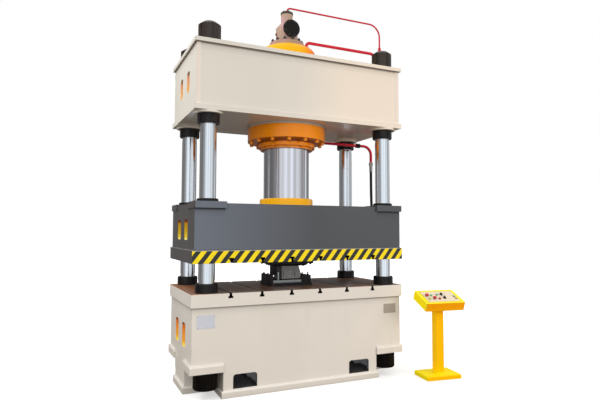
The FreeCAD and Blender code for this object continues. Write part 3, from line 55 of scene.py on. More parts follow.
CAMERA_PLACE = (-2.2856, -5.3955, 1.6233)
CAMERA_TURN = 24.52       # degrees to the right of +Y
CAMERA_RISE = 3.41        # degrees above level
CAMERA_ROLL = 0.13        # degrees
LENS = 30.52              # millimetres, on a sensor of SENSOR
SENSOR = 36.0


def add_object(name, data):
    piece = bpy.data.objects.new(name, data)
    bpy.context.scene.collection.objects.link(piece)
    return piece


def add_camera():
    data = bpy.data.cameras.new("camera")
    data.sensor_width = SENSOR
    data.lens = LENS
    data.clip_end = 200
    camera = add_object("camera", data)
    camera.location = CAMERA_PLACE
    aim = Euler((radians(90 + CAMERA_RISE), 0, radians(-CAMERA_TURN)))
    roll = Matrix.Rotation(radians(CAMERA_ROLL), 4, "Z")
    camera.rotation_euler = (aim.to_matrix().to_4x4() @ roll).to_euler()
    bpy.context.scene.camera = camera


# --- node trees

class Tree:
    """A short way to write a node tree."""

    def __init__(self, owner):
        self.nodes = owner.node_tree.nodes
        self.links = owner.node_tree.links

    def add(self, kind, sockets=(), **settings):
        """A node with its settings, and with values or other nodes' outputs on its sockets."""
        node = self.nodes.new("ShaderNode" + kind)
        for name, value in settings.items():
            setattr(node, name, value)
        for name, value in dict(sockets).items():
            self.feed(node.inputs[name], value)
        return node

    def feed(self, socket, value):
        if isinstance(value, bpy.types.NodeSocket):
            self.links.new(value, socket)
        else:
            socket.default_value = value

    def math(self, operation, first, second=0.0, clamp=False):
        return self.add("Math", {0: first, 1: second}, operation=operation,
                        use_clamp=clamp).outputs[0]

    times = partialmethod(math, "MULTIPLY")
    plus = partialmethod(math, "ADD")
    minus = partialmethod(math, "SUBTRACT")
    over = partialmethod(math, "DIVIDE")
    most = partialmethod(math, "MAXIMUM")
    above = partialmethod(math, "GREATER_THAN")
    below = partialmethod(math, "LESS_THAN")
    size = partialmethod(math, "ABSOLUTE")

    def mix(self, factor, first, second, share=1):
        """From first to second as far as the factor says, or a share of that."""
        factor = factor if share == 1 else self.times(factor, share)
        return self.add("Mix", {0: factor, 6: first, 7: second}, data_type="RGBA").outputs[2]

    def ramp(self, value, stops):
        """Stops are pairs of place and grey level or colour."""
        node = self.add("ValToRGB", {0: value})
        elements = node.color_ramp.elements
        while len(elements) < len(stops):
            elements.new(0.5)
        for element, (place, level) in zip(elements, stops):
            element.position = place
            color = [level] * 3 if isinstance(level, float) else level[:3]
            element.color = (*color, 1)
        return node.outputs[0]

    def split(self, vector):
        return self.add("SeparateXYZ", {0: vector}).outputs

    def band(self, value, low, high, soft=0.001):
        """1 between low and high, 0 outside, with soft edges."""
        rise = self.over(self.minus(value, low), soft, True)
        fall = self.over(self.minus(high, value), soft, True)
        return self.times(rise, fall)

    def slope(self, value, start, end):
        """0 at start and before it, 1 at end and past it."""
        return self.over(self.minus(value, start), end - start, True)

    def all_of(self, *masks):
        return reduce(self.times, masks)


def srgb(red, green, blue):
    """A colour read on the photograph's scale of 0 to 255, in linear light."""
    def linear(level):
        level /= 255
        return level / 12.92 if level <= 0.04045 else ((level + 0.055) / 1.055) ** 2.4
    return (linear(red), linear(green), linear(blue), 1.0)


def shade(color, factor):
    return (*(level * factor for level in color[:3]), 1.0)


class Finish:
    """A material with its shader, its place and its masks at hand."""

    def __init__(self, name, roughness=0.5, metallic=0.0, specular=0.5, coat=0.0):
        self.material = bpy.data.materials.new(name)
        self.material.use_nodes = True
        self.tree = Tree(self.material)
        self.shader = self.tree.nodes["Principled BSDF"]
        self.set("Roughness", roughness)
        self.set("Metallic", metallic)
        self.set("Specular IOR Level", specular)
        self.set("Coat Weight", coat)
        self.set("Coat Roughness", 0.1)
        self.place = self.tree.add("TexCoord").outputs["Object"]
        self.x, self.y, self.z = self.tree.split(self.place)
        self.rounded = None

    def set(self, name, value):
        self.tree.feed(self.shader.inputs[name], value)

    def noise(self, scale, detail=4.0, stretch=None):
        place = self.place
        if stretch:
            place = self.tree.add("Mapping", {"Scale": stretch, "Vector": place}).outputs[0]
        sockets = {"Scale": scale, "Detail": detail, "Vector": place}
        return self.tree.add("TexNoise", sockets).outputs["Fac"]

    def patches(self, low, high, *noise):
        """Noise with its contrast raised: 0 below low and 1 above high."""
        return self.tree.ramp(self.noise(*noise), [(low, 0.0), (high, 1.0)])

    def inside(self, axis, limit):
        """1 closer than limit to the object's middle plane."""
        return self.tree.below(self.tree.size(getattr(self, axis)), limit)

    def past(self, axis, limit):
        """1 farther than limit from the object's middle plane."""
        return self.tree.above(self.tree.size(getattr(self, axis)), limit)

    def color(self, base):
        self.base = base
        self.set("Base Color", base)

    def paint(self, mask, color, share=1):
        """Lays a colour over what is there already, as far as the mask says."""
        self.color(self.tree.mix(mask, self.base, color, share))

    def emit(self, color, strength):
        self.set("Emission Color", color)
        self.set("Emission Strength", strength)

    def round_edges(self, radius):
        """Rounds every sharp edge in the shading; returns a mask of those edges."""
        tree = self.tree
        self.rounded = tree.add("Bevel", {"Radius": radius}, samples=4).outputs[0]
        flat = tree.add("NewGeometry").outputs["True Normal"]
        lean = tree.add("VectorMath", {0: self.rounded, 1: flat}, operation="DOT_PRODUCT")
        return tree.slope(lean.outputs["Value"], 0.985, 0.80)

    def bump(self, height, strength, distance):
        sockets = {"Strength": strength, "Distance": distance, "Height": height}
        if self.rounded is not None:
            sockets["Normal"] = self.rounded
        self.set("Normal", self.tree.add("Bump", sockets).outputs[0])


# --- finishes

WHITE = (1, 1, 1, 1)
CREAM = srgb(229, 223, 214)
SLIDE_GREY = srgb(78, 80, 84)
SIGNAL_ORANGE = srgb(248, 146, 0)
SIGNAL_YELLOW = srgb(255, 184, 2)
STRIPE_YELLOW = srgb(255, 227, 8)
STAND_YELLOW = srgb(255, 232, 0)
STAND_ORANGE = srgb(255, 190, 0)
# The box's front, in painted shade.
BOX_SHADED_ORANGE = srgb(255, 166, 0)
PIPE_RED = srgb(206, 14, 44)
BLACK = srgb(22, 20, 18)
GRIME_AND_SHADE_BROWN = srgb(74, 58, 44)
BARE_STEEL = srgb(120, 114, 108)
CORNER_SHADE = srgb(96, 84, 72)


def enamel(name, color, dirt_and_shade=0.12, roughness=0.32, grime=GRIME_AND_SHADE_BROWN, edge=0.004, wear=0.12,
           crevice=0.10, corner=0.30, coat=0.15, specular=0.4):
    """Sprayed enamel: orange peel, uneven tone, dirty runs and specks, corners darkened by soiling
    and painted shade, edges lightened by rubbing and a painted highlight.
    """
    finish = Finish(name, specular=specular, coat=coat)
    tree = finish.tree
    clouds = finish.noise(1.3, 5)
    tone = tree.ramp(clouds, [(0.3, 0.0), (0.75, 1.0)])
    finish.color(tree.mix(tone, shade(color, 0.95), shade(color, 1.03)))
    finish.paint(finish.patches(0.56, 0.78, 9, 6, (1, 1, 0.12)), grime, dirt_and_shade * 0.5)
    finish.paint(finish.patches(0.68, 0.76, 60, 3), grime, dirt_and_shade * 0.4)
    edges = finish.round_edges(edge)
    # Lighter on the rounded edges: partly rubbed paint, partly a painted highlight.
    finish.paint(edges, tree.mix(0.5, color, WHITE), wear * 3)
    chips = finish.patches(0.60, 0.64, 34, 5)
    finish.paint(tree.times(edges, chips), BARE_STEEL, 0.6)
    # Darker in corners and crevices: partly soiling, partly painted shade.
    clear = tree.add("AmbientOcclusion", {"Distance": crevice}, samples=6).outputs["AO"]
    corners = tree.ramp(tree.minus(1.0, clear, True), [(0.30, 0.0), (0.85, 1.0)])
    finish.paint(corners, grime, corner + dirt_and_shade)
    finish.set("Roughness", tree.plus(tree.times(clouds, 0.16), roughness - 0.08))
    finish.bump(finish.noise(140, 2), 0.10, 0.0008)
    return finish


def metal(name, color, roughness, scratch=(1, 1, 1), variation=0.15, edge=0.002):
    """Worked steel: fine scratches, an oily unevenness and brighter rubbed edges."""
    finish = Finish(name, metallic=1.0)
    tree = finish.tree
    film = finish.noise(5, 5)
    lines = finish.noise(22, 5, scratch)
    finish.color(tree.mix(film, shade(color, 1 - variation), shade(color, 1 + variation)))
    finish.paint(lines, shade(color, 1 - 2 * variation), 0.4)
    finish.paint(finish.round_edges(edge), srgb(150, 146, 142), 0.5)
    finish.set("Roughness", tree.plus(tree.times(film, 0.18), roughness - 0.09))
    finish.bump(lines, 0.08, 0.0005)
    return finish


def blackened(name, color=srgb(27, 23, 21), roughness=0.36, specular=0.5, rubbed=0.25):
    """Oiled black oxide: no mirror, a soft sheen, brownish where handling has rubbed it."""
    finish = Finish(name, specular=specular)
    tree = finish.tree
    film = finish.noise(7, 5)
    finish.color(tree.mix(film, shade(color, 0.75), shade(color, 1.2)))
    finish.paint(finish.patches(0.50, 0.75, 16, 6), srgb(78, 58, 46), rubbed)
    finish.paint(finish.round_edges(0.003), srgb(110, 104, 100), 0.5)
    finish.set("Roughness", tree.plus(tree.times(film, 0.2), roughness - 0.1))
    finish.bump(finish.noise(30, 3, (0.3, 0.3, 9)), 0.12, 0.0006)
    return finish


def assign(finish, *names):
    for name in names:
        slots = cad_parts[name].data.materials
        slots.clear()
        slots.append(finish.material)


def shade_under_ledge(finish, ledge, near=0.70, far=0.22):
    """1 in the corner right under a plate that overhangs a wall, fading out down the wall: the mask
    of a painted shadow.
    """
    tree = finish.tree
    corner = tree.times(tree.slope(finish.z, ledge - 0.026, ledge - 0.012), near)
    wall = tree.times(tree.slope(finish.z, ledge - 0.085, ledge), far)
    below = tree.below(finish.z, ledge + 0.0004)
    return tree.times(tree.most(corner, wall), below)


# The welded frames: half sizes of their walls, and the levels between which they are hollow.
BED_WALLS, BED_INSIDE = (1.190, 0.522), (0.336, 0.880)
CROWN_WALLS, CROWN_INSIDE = (1.182, 0.552), (2.851, 3.471)
SLIDE_WALLS, SLIDE_INSIDE = (1.1835, 0.545), (1.428, 1.873)

# Colours from the sill of the side slots to their head, with painted light: pale on the lit sill,
# dark red under the shaded head.
ORANGE_PRIMER_LIT_AND_SHADED = [(0.0, srgb(226, 206, 60)), (0.16, srgb(240, 176, 60)), (0.5, srgb(240, 158, 60)),
                 (0.84, srgb(226, 120, 52)), (0.93, srgb(96, 44, 34)), (1.0, srgb(60, 32, 28))]
YELLOW_PRIMER_LIT_AND_SHADED = [(0.0, srgb(236, 226, 150)), (0.14, srgb(226, 200, 70)), (0.45, srgb(206, 172, 36)),
                 (0.80, srgb(200, 150, 34)), (0.92, srgb(150, 60, 30)), (1.0, srgb(70, 34, 28))]


def framed_paint(name, color, walls, inside, slots, primer, dirt_and_shade, glow=0.22, **options):
    """A welded frame's enamel outside, and bright signal paint on what is inside its walls. The
    primer's colours run from the sill of the side slots to their head and hold painted light: pale
    on the lit sill, dark red under the shaded head. The inside also glows faintly, as painted
    light."""
    finish = enamel(name, color, dirt_and_shade, **options)
    tree = finish.tree
    (half_x, half_y), (low, high), skin = walls, inside, 0.002
    inner = tree.all_of(finish.inside("x", half_x - skin), finish.inside("y", half_y - skin),
                        tree.band(finish.z, low + skin, high - skin, 0.0002))
    # The primer's ramp is painted light and shade: pale on the lit sill, dark red under the shaded
    # head.
    finish.primer = tree.ramp(tree.slope(finish.z, *slots), primer)
    finish.paint(inner, finish.primer)
    # A faint painted glow inside the walls, in the primer's colours.
    finish.glow = tree.times(inner, glow)
    finish.emit(finish.primer, finish.glow)
    return finish


def bed_finish():
    """Cream outside, with a painted shadow under the table plate and a painted highlight on the
    plate rims; the two fork pockets are dark grey inside, lighter towards their floor and glowing
    faintly at their back, as painted light.
    """
    finish = framed_paint("bed_enamel", CREAM, BED_WALLS, BED_INSIDE, (0.451, 0.689),
                          ORANGE_PRIMER_LIT_AND_SHADED, 0.14, edge=0.006, wear=0.33)
    tree = finish.tree
    half_x, half_y = BED_WALLS
    # Painted shadow under the overhanging table plate.
    finish.paint(shade_under_ledge(finish, BED_INSIDE[1], 0.45, 0.14), CORNER_SHADE)
    # Painted highlight on the top rims of the corner plates and of the foot plate.
    proud = tree.most(finish.past("x", half_x + 0.0015), finish.past("y", half_y + 0.0015))
    plate_rim_highlight = tree.times(proud, tree.band(finish.z, 0.313, 0.3365, 0.005))
    foot_rim_highlight = tree.band(finish.z, 0.050, 0.0705, 0.005)
    finish.paint(tree.most(plate_rim_highlight, foot_rim_highlight), srgb(254, 250, 243), 0.9)
    pocket = tree.all_of(finish.inside("x", 0.8735), finish.inside("y", half_y - 0.0025),
                         tree.band(finish.z, 0.0660, 0.2145, 0.0004))
    # Lighter towards the pockets' floor, with a faint painted glow at their back: painted light.
    floor = tree.slope(finish.z, 0.10, 0.09)
    finish.paint(pocket, tree.mix(floor, srgb(112, 112, 118), srgb(70, 68, 68)))
    back = tree.slope(tree.size(finish.y), 0.505, 0.40)
    pocket_glow = tree.all_of(pocket, tree.minus(1.0, floor), back, 1.3)
    finish.emit(tree.mix(pocket, finish.primer, srgb(52, 51, 53)), tree.plus(finish.glow, pocket_glow))
    return finish


def crown_finish():
    """Cream, greyer and darker to the left and pinker and lighter to the right as painted light,
    with a painted shadow under the cap and a pale strip at each corner.
    """
    low, high = CROWN_INSIDE
    finish = framed_paint("crown_enamel", CREAM, CROWN_WALLS, CROWN_INSIDE, (3.050, 3.272),
                          ORANGE_PRIMER_LIT_AND_SHADED, 0.08, 0.32, crevice=0.07, corner=0.45, coat=0.4)
    tree = finish.tree
    # Painted light: darker and greyer to the left, lighter and warmer to the right.
    finish.paint(tree.slope(finish.x, 0.35, -0.45), srgb(206, 204, 192), 0.40)
    finish.paint(tree.slope(finish.x, -0.10, 0.50), srgb(248, 228, 204), 0.45)
    finish.paint(shade_under_ledge(finish, high), CORNER_SHADE)
    strip = tree.all_of(finish.past("x", 1.1465), finish.past("y", CROWN_WALLS[1] - 0.0005),
                        tree.band(finish.z, low + 0.0005, high - 0.0005, 0.0004))
    finish.paint(strip, srgb(240, 224, 212), 0.55)
    return finish


SLOT_PITCH = 0.3256       # from one T-slot of the table to the next


def table_finish():
    """Cream on the edges of the table plate, oily and rust-stained milled steel on its face."""
    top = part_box("bolster_plate")[1].z
    finish = enamel("table_enamel", CREAM, 0.08)
    tree = finish.tree
    film = finish.noise(2.2, 6)
    milled = finish.noise(40, 4, (0.04, 1, 1))
    planks = finish.patches(0.42, 0.60, 5, 3, (1, 0.12, 1))
    rust = finish.patches(0.46, 0.62, 3.1, 7)
    left = tree.slope(finish.x, -0.98, -1.12)
    steel = tree.mix(film, srgb(84, 66, 56), srgb(168, 144, 130))
    steel = tree.mix(milled, steel, srgb(178, 160, 146), 0.35)
    steel = tree.mix(planks, steel, srgb(110, 80, 64), 0.55)
    rusty = tree.plus(tree.times(rust, 0.55), tree.times(left, 0.75), True)
    steel = tree.mix(rusty, steel, srgb(176, 112, 66))
    steps = tree.math("FRACT", tree.plus(tree.over(finish.x, SLOT_PITCH), 10))
    beside = tree.times(tree.size(tree.minus(steps, 0.5)), SLOT_PITCH)
    steel = tree.mix(tree.band(beside, 0.0130, 0.0300, 0.005), steel, srgb(198, 184, 170), 0.55)
    on_face = tree.above(finish.z, top - 0.0035)
    in_slot = tree.times(finish.inside("y", 0.5435), finish.inside("x", 1.2025))
    bare = tree.most(on_face, in_slot)
    # Darker down inside the T-slots: painted shade.
    slot_shade = tree.times(bare, tree.below(finish.z, top - 0.006))
    steel = tree.mix(slot_shade, steel, srgb(42, 35, 30))
    finish.paint(bare, steel)
    finish.set("Metallic", tree.times(bare, 0.2))
    finish.set("Roughness", tree.plus(tree.times(film, 0.3), 0.22))
    return finish


def slide_sheen_and_shade(finish, base, half_x):
    """The slide's grey with painted light: a lighter, bluer painted sheen towards the left of its
    front, and a darker, browner painted shade on its end walls.
    """
    tree = finish.tree
    left = tree.slope(finish.x, 0.10, -1.10)
    base = tree.mix(left, base, srgb(116, 124, 138), 0.62)
    return tree.mix(finish.past("x", half_x - 0.001), base, srgb(58, 49, 43), 0.9)


def slide_finish():
    finish = framed_paint("slide_enamel", SLIDE_GREY, SLIDE_WALLS, SLIDE_INSIDE, (1.523, 1.731),
                          YELLOW_PRIMER_LIT_AND_SHADED, 0.10, roughness=0.30, grime=srgb(34, 30, 27),
                          crevice=0.07, corner=0.5)
    tree = finish.tree
    half_x, half_y = SLIDE_WALLS
    end = finish.past("x", half_x - 0.001)
    front = finish.past("y", half_y - 0.001)
    grey_sheen_and_shade = slide_sheen_and_shade(finish, finish.base, half_x)
    corner = tree.most(tree.times(front, finish.past("x", 0.8785)),
                       tree.times(end, finish.past("y", 0.263)))
    # Painted shadow under the corner boss plates, on the front and end walls.
    shaded = tree.times(corner, shade_under_ledge(finish, 1.839, 0.9, 0.2))
    finish.paint(tree.most(end, front), tree.mix(shaded, grey_sheen_and_shade, srgb(20, 20, 22)))
    return finish


STRIPE_PITCH = 0.110      # from one yellow bar to the next
STRIPE_SHARE = 0.54       # how much of the pitch is yellow
STRIPE_LEAN = 0.78        # shift to the right for each metre up
STRIPE_START = -1.205


def face_plate_finish():
    """Grey enamel with slanting yellow and black bars along the front edge, a painted highlight
    along its top edge and on its ledge, and painted shade in its slots.
    """
    finish = enamel("face_enamel", SLIDE_GREY, 0.12)
    tree = finish.tree
    half_x, half_y, low, high = 1.205, 0.560, 1.300, 1.428
    base = slide_sheen_and_shade(finish, finish.base, half_x)
    rise = tree.times(tree.minus(finish.z, low), STRIPE_LEAN)
    along = tree.minus(tree.minus(finish.x, STRIPE_START), rise)
    saw = tree.math("FRACT", tree.plus(tree.over(along, STRIPE_PITCH), 100.06))
    bar = tree.band(saw, 0.02, STRIPE_SHARE, 0.025)
    yellow = tree.mix(finish.noise(14, 5), shade(STRIPE_YELLOW, 0.88), shade(STRIPE_YELLOW, 1.06))
    bars = tree.mix(bar, srgb(38, 38, 37), yellow)
    bars = tree.mix(finish.patches(0.60, 0.74, 26, 6), bars, srgb(96, 84, 60), 0.22)
    # Painted highlight along the top edge of the front.
    bars = tree.mix(tree.slope(finish.z, 1.4185, 1.4205), bars, srgb(176, 174, 166), 0.85)
    # Painted highlight on the top of the ledge that stands out past the slide's walls.
    ledge = tree.times(tree.above(finish.z, high - 0.0005),
                       finish.past("x", SLIDE_WALLS[0] + 0.0005))
    base = tree.mix(ledge, base, srgb(190, 175, 150))
    finish.color(tree.mix(tree.below(finish.y, 0.001 - half_y), base, bars))
    # Painted shade, near black, inside the slots.
    shaded_slot = tree.all_of(tree.below(finish.z, 1.3525), tree.above(finish.z, low + 0.0005),
                       finish.inside("y", half_y - 0.0015), finish.inside("x", half_x - 0.0015))
    finish.paint(shaded_slot, srgb(22, 20, 20))
    return finish


def cylinder_finish():
    """Orange enamel, yellower on the dome and more orange to the dome's right as painted shade,
    with a band of painted shadow close under the crown.
    """
    finish = enamel("orange_enamel", SIGNAL_ORANGE, 0.10, 0.34, grime=srgb(104, 40, 14),
                    crevice=0.05, corner=0.65, specular=0.2)
    finish.set("Coat Roughness", 0.05)
    tree = finish.tree
    upper = tree.slope(finish.z, 3.40, 3.55)
    # More orange towards the right of the dome: painted shade.
    right = tree.slope(finish.x, 0.02, 0.24)
    finish.paint(upper, tree.mix(right, srgb(246, 182, 0), srgb(238, 100, 0)), 0.85)
    # Painted shadow in a band close under the crown.
    finish.paint(tree.band(finish.z, 2.600, 2.6318, 0.004), srgb(112, 40, 10), 0.75)
    finish.set("Coat Weight", tree.minus(0.5, tree.times(upper, 0.4)))
    return finish


def valve_finish():
    """Thin khaki and pink-brown primer over a casting, patchy and oily near its foot."""
    finish = enamel("valve_enamel", srgb(178, 150, 138), 0.35, 0.42, grime=srgb(62, 46, 40))
    tree = finish.tree
    patches = finish.patches(0.40, 0.62, 9, 4)
    finish.paint(0.5, tree.mix(patches, srgb(172, 158, 118), srgb(204, 152, 164)))
    finish.paint(tree.slope(finish.z, 3.85, 3.79), srgb(150, 118, 104), 0.45)
    finish.bump(finish.noise(70, 4), 0.35, 0.0012)
    return finish


def chrome(name, blur, dull, bright, streaked):
    """Hard chrome: nearly a mirror, with fine upright drawing marks and an oil film."""
    finish = Finish(name, metallic=1.0)
    tree = finish.tree
    lines = finish.noise(55, 3, (1, 1, 0.02))
    finish.color(tree.mix(finish.noise(3, 4, (1, 1, 0.3)), dull, bright))
    finish.paint(finish.patches(0.40, 0.58, 26, 2, (1, 1, 0.004)), srgb(164, 166, 172), streaked)
    finish.set("Roughness", tree.plus(tree.times(lines, 0.07), blur))
    finish.bump(lines, 0.03, 0.0004)
    return finish


def rubber(name):
    finish = Finish(name, roughness=0.6, specular=0.3)
    dust = finish.noise(30, 5)
    finish.color(finish.tree.mix(dust, srgb(16, 16, 17), srgb(36, 35, 34)))
    finish.bump(dust, 0.1, 0.0006)
    return finish


def moulding(name, color):
    finish = Finish(name, roughness=0.28, coat=0.3)
    handled = finish.noise(90, 4)
    finish.color(finish.tree.mix(handled, shade(color, 0.85), color))
    finish.paint(finish.round_edges(0.0012), WHITE, 0.15)
    finish.bump(handled, 0.04, 0.0003)
    return finish


def lamp_lens(name, color):
    """Ribbed translucent lens of a pilot lamp, unlit, with a faint painted glow in its own colour.
    """
    finish = Finish(name, roughness=0.2, coat=0.5)
    ribs = finish.noise(260, 1)
    finish.color(finish.tree.mix(ribs, shade(color, 0.8), color))
    # A faint painted glow.
    finish.emit(color, 0.12)
    finish.bump(ribs, 0.2, 0.0004)
    return finish


def stand_finish():
    """Thick yellow enamel, orange on the post; more orange where the pieces face the front, as
    painted shade, and glowing faintly as painted light, least on the front and top faces.
    """
    finish = enamel("stand_enamel", STAND_YELLOW, 0.06, 0.34, grime=srgb(150, 80, 10), coat=0.05,
                    specular=0.12)
    tree = finish.tree
    _, front, up = tree.split(tree.add("TexCoord").outputs["Normal"])
    # Painted shade: more orange on the faces that look to the front.
    front = tree.slope(front, -0.35, -0.85)
    post = tree.times(tree.band(finish.z, 0.060, 0.760), 0.8)
    orange = tree.mix(tree.slope(finish.z, 0.70, 0.80), STAND_ORANGE, BOX_SHADED_ORANGE)
    finish.paint(tree.most(front, post), orange)
    # Painted glow, strongest on the faces that look to the side.
    glow = tree.minus(0.22, tree.times(front, 0.14))
    glow = tree.minus(glow, tree.times(tree.slope(up, 0.50, 0.90), 0.16))
    finish.emit(finish.base, glow)
    return finish


def panel_finish():
    """Pinkish cream face plate with a pale yellow border, set on the sloping box."""
    finish = enamel("panel_enamel", srgb(231, 216, 190), 0.06, 0.34, edge=0.0015)
    tree = finish.tree
    across, up = panel_axes(finish)
    side = tree.slope(tree.size(across), 0.182, 0.186)
    end = tree.slope(tree.size(tree.plus(up, 0.005)), 0.101, 0.105)
    finish.paint(tree.most(side, end), srgb(236, 210, 128), 0.8)
    return finish


def plate_finish(name, face, line):
    """Thin printed metal plate: a plain field with rubbed edges."""
    finish = Finish(name, roughness=0.35, metallic=0.25, coat=0.3)
    finish.color(finish.tree.mix(finish.noise(40, 4), shade(face, 0.94), shade(face, 1.05)))
    finish.paint(finish.round_edges(0.0012), line, 0.6)
    finish.bump(finish.noise(120, 3, (0.05, 1, 1)), 0.06, 0.0003)
    return finish


# --- the stand's sloping face

STAND_PLACE = Vector((1.514, -0.788, 0))
STAND_TURN = radians(-8)
BOX_TILT = radians(21.5)
BOX_FACE = Vector((0, -0.050, 0.891))
PANEL_TOP = 0.004         # above the box's face


def panel_matrix():
    """From places on the box's face (across, up its slope, out of it) to the object's axes."""
    turned = Matrix.Rotation(STAND_TURN, 4, "Z")
    tilted = Matrix.Rotation(BOX_TILT, 4, "X")
    return Matrix.Translation(STAND_PLACE) @ turned @ Matrix.Translation(BOX_FACE) @ tilted


def panel_axes(finish):
    """How far across the box's face, and how far up it, the shaded point lies."""
    tree = finish.tree
    for row in list(panel_matrix().inverted())[:2]:
        along = tree.times(finish.x, row[0])
        along = tree.plus(along, tree.times(finish.y, row[1]))
        along = tree.plus(along, tree.times(finish.z, row[2]))
        yield tree.plus(along, row[3])


# --- mesh building

HERE = Matrix.Identity(4)
CORNERS = [(-1, -1), (1, -1), (1, 1), (-1, 1)]
BEAD_PITCH = 0.007        # from one ripple of a weld to the next
SHARP_ANGLE = radians(32)


class Shape:
    """A piece's mesh while it is being made, in the object's own metres."""

    def __init__(self):
        self.mesh = bmesh.new()

    def ring(self, points, at=HERE):
        return [self.mesh.verts.new(at @ Vector(point)) for point in points]

    def skin(self, rings):
        """Faces between neighbouring rings, with a face over each end."""
        for first, second in zip(rings, rings[1:]):
            for i in range(len(first)):
                j = (i + 1) % len(first)
                self.mesh.faces.new((first[i], first[j], second[j], second[i]))
        self.mesh.faces.new(list(reversed(rings[0])))
        self.mesh.faces.new(rings[-1])

    def turned(self, profile, at=HERE, steps=24):
        """A profile of (radius, level) turned round local Z; a third entry gives a ring
        that many flats, and the radius is then measured to the flats."""
        rings = []
        for radius, level, *flats in profile:
            points = []
            for step in range(steps):
                angle = 2 * pi * step / steps
                reach = radius
                if flats:
                    part = 2 * pi / flats[0]
                    reach = radius / cos((angle + part / 2) % part - part / 2)
                points.append((*polar(reach, angle), level))
            rings.append(self.ring(points, at))
        self.skin(rings)

    def thread(self, radius, depth, pitch, low, high, at, steps=24):
        """A rod with a helical thread and a bevelled tip."""
        rows = int((high - low) / pitch * 5)
        rings = []
        for row in range(rows + 1):
            level = low + (high - low) * row / rows
            tip = max(0.0, (level - high) / pitch + 1) * depth * 1.5
            points = []
            for step in range(steps):
                angle = 2 * pi * step / steps
                wave = abs(2 * ((level / pitch - step / steps) % 1.0) - 1)
                points.append((*polar(radius - depth * wave - tip, angle), level))
            rings.append(self.ring(points, at))
        self.skin(rings)

    def slab(self, width, length, low, high, corner, bevel, at, arc=4):
        """A plate with rounded corners and a bevelled upper edge, its middle at the origin."""
        def outline(inset, level):
            for turn, (sx, sy) in enumerate(CORNERS[2:] + CORNERS[:2]):
                for step in range(arc + 1):
                    x, y = polar(max(corner - inset, 0.0), pi / 2 * (turn + step / arc))
                    yield sx * (width / 2 - corner) + x, sy * (length / 2 - corner) + y, level
        self.skin([self.ring(outline(0, low), at), self.ring(outline(0, high - bevel), at),
                   self.ring(outline(bevel, high), at)])

    def weld(self, start, end, outward, leg, up=1):
        """A bead with overlapping ripples from start to end, in the corner between a wall whose
        face looks outward and the level plate under it, or over it where up is -1."""
        start, end, outward = map(Vector, (start, end, outward))
        upward = Vector((0, 0, up))
        length = (end - start).length
        stations = max(2, int(length / BEAD_PITCH * 3))
        rings = []
        for station in range(stations + 1):
            along = length * station / stations
            middle = start + (end - start) * (station / stations)
            points = [middle - (outward + upward) * 0.001]
            for step in range(6):
                angle = pi / 2 * step / 5
                behind = along + leg * 0.45 * sin(2 * angle)
                ripple = abs(sin(pi * behind / BEAD_PITCH))
                size = leg * (0.93 + 0.10 * ripple + 0.05 * sin(along * 19 + angle))
                points.append(middle + outward * size * cos(angle) + upward * size * sin(angle))
            rings.append(self.ring(points))
        self.skin(rings)

    def weld_round(self, half_x, half_y, level, leg, up=1):
        """A bead all round an upright rectangle, in the corner that it makes with a plate."""
        for sign in (-1, 1):
            x, y = sign * half_x, sign * half_y
            self.weld((-half_x, y, level), (half_x, y, level), (0, sign, 0), leg, up)
            self.weld((x, -half_y, level), (x, half_y, level), (sign, 0, 0), leg, up)

    def screws(self, places, head, height, foot=0.004):
        """Socket head screws, seen from their heads. head is the diameter, and foot how far the
        washer goes in; 0 leaves the washer out."""
        radius = head / 2
        washer = [(radius * 1.22, -foot), (radius * 1.22, 0.0015), (radius * 1.16, 0.0025),
                  (radius * 0.99, 0.0025)]
        profile = [*(washer if foot else [(radius * 0.95, 0.0005)]),
                   (radius, 0.004), (radius, height - head * 0.06), (radius * 0.90, height),
                   (radius * 0.55, height, 6), (radius * 0.50, height - head * 0.04, 6),
                   (radius * 0.50, height * 0.45, 6), (radius * 0.12, height * 0.36)]
        for place in places:
            self.turned(profile, place)
        return self

    def nut(self, place, flats, height, washer=True):
        """A hexagon nut or bolt head with its bevelled crown, on a washer."""
        radius = flats / 2
        foot = [(radius * 1.28, -0.003), (radius * 1.28, 0.0018), (radius * 1.22, 0.0025)]
        self.turned([*(foot if washer else [(radius * 0.98, 0)]), (radius, 0.0027, 6),
                     (radius, height * 0.86, 6), (radius, height),
                     (radius * 0.62, height + 0.0004)], place, 36)

    def make(self, name, finish, body="press"):
        bmesh.ops.recalc_face_normals(self.mesh, faces=self.mesh.faces)
        mesh = bpy.data.meshes.new(name)
        self.mesh.to_mesh(mesh)
        self.mesh.free()
        for polygon in mesh.polygons:
            polygon.use_smooth = True
        mesh.set_sharp_from_angle(angle=SHARP_ANGLE)
        mesh.materials.append(finish.material)
        piece = add_object(name, mesh)
        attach(piece, body)
        return piece


def at(x, y, z, heading="+Z"):
    """A place whose local Z points along heading."""
    half = pi / 2
    angle, axis = {"+Z": (0, "X"), "-Z": (pi, "X"), "-Y": (half, "X"), "+Y": (-half, "X"),
                   "+X": (half, "Y"), "-X": (-half, "Y")}[heading]
    return Matrix.Translation((x, y, z)) @ Matrix.Rotation(angle, 4, axis)


def polar(reach, angle):
    return reach * cos(angle), reach * sin(angle)


def round_places(diameter, count, phase=0.0):
    for step in range(count):
        yield polar(diameter / 2, radians(phase + 360 / count * step))


def circle(diameter, count, phase, level, heading="+Z"):
    """Places evenly round the cylinder's axis, at one level."""
    return [at(x, y, level, heading) for x, y in round_places(diameter, count, phase)]


def grid(xs, ys, zs, heading="+Z"):
    return [at(*place, heading) for place in product(xs, ys, zs)]


# --- pieces added to the solids

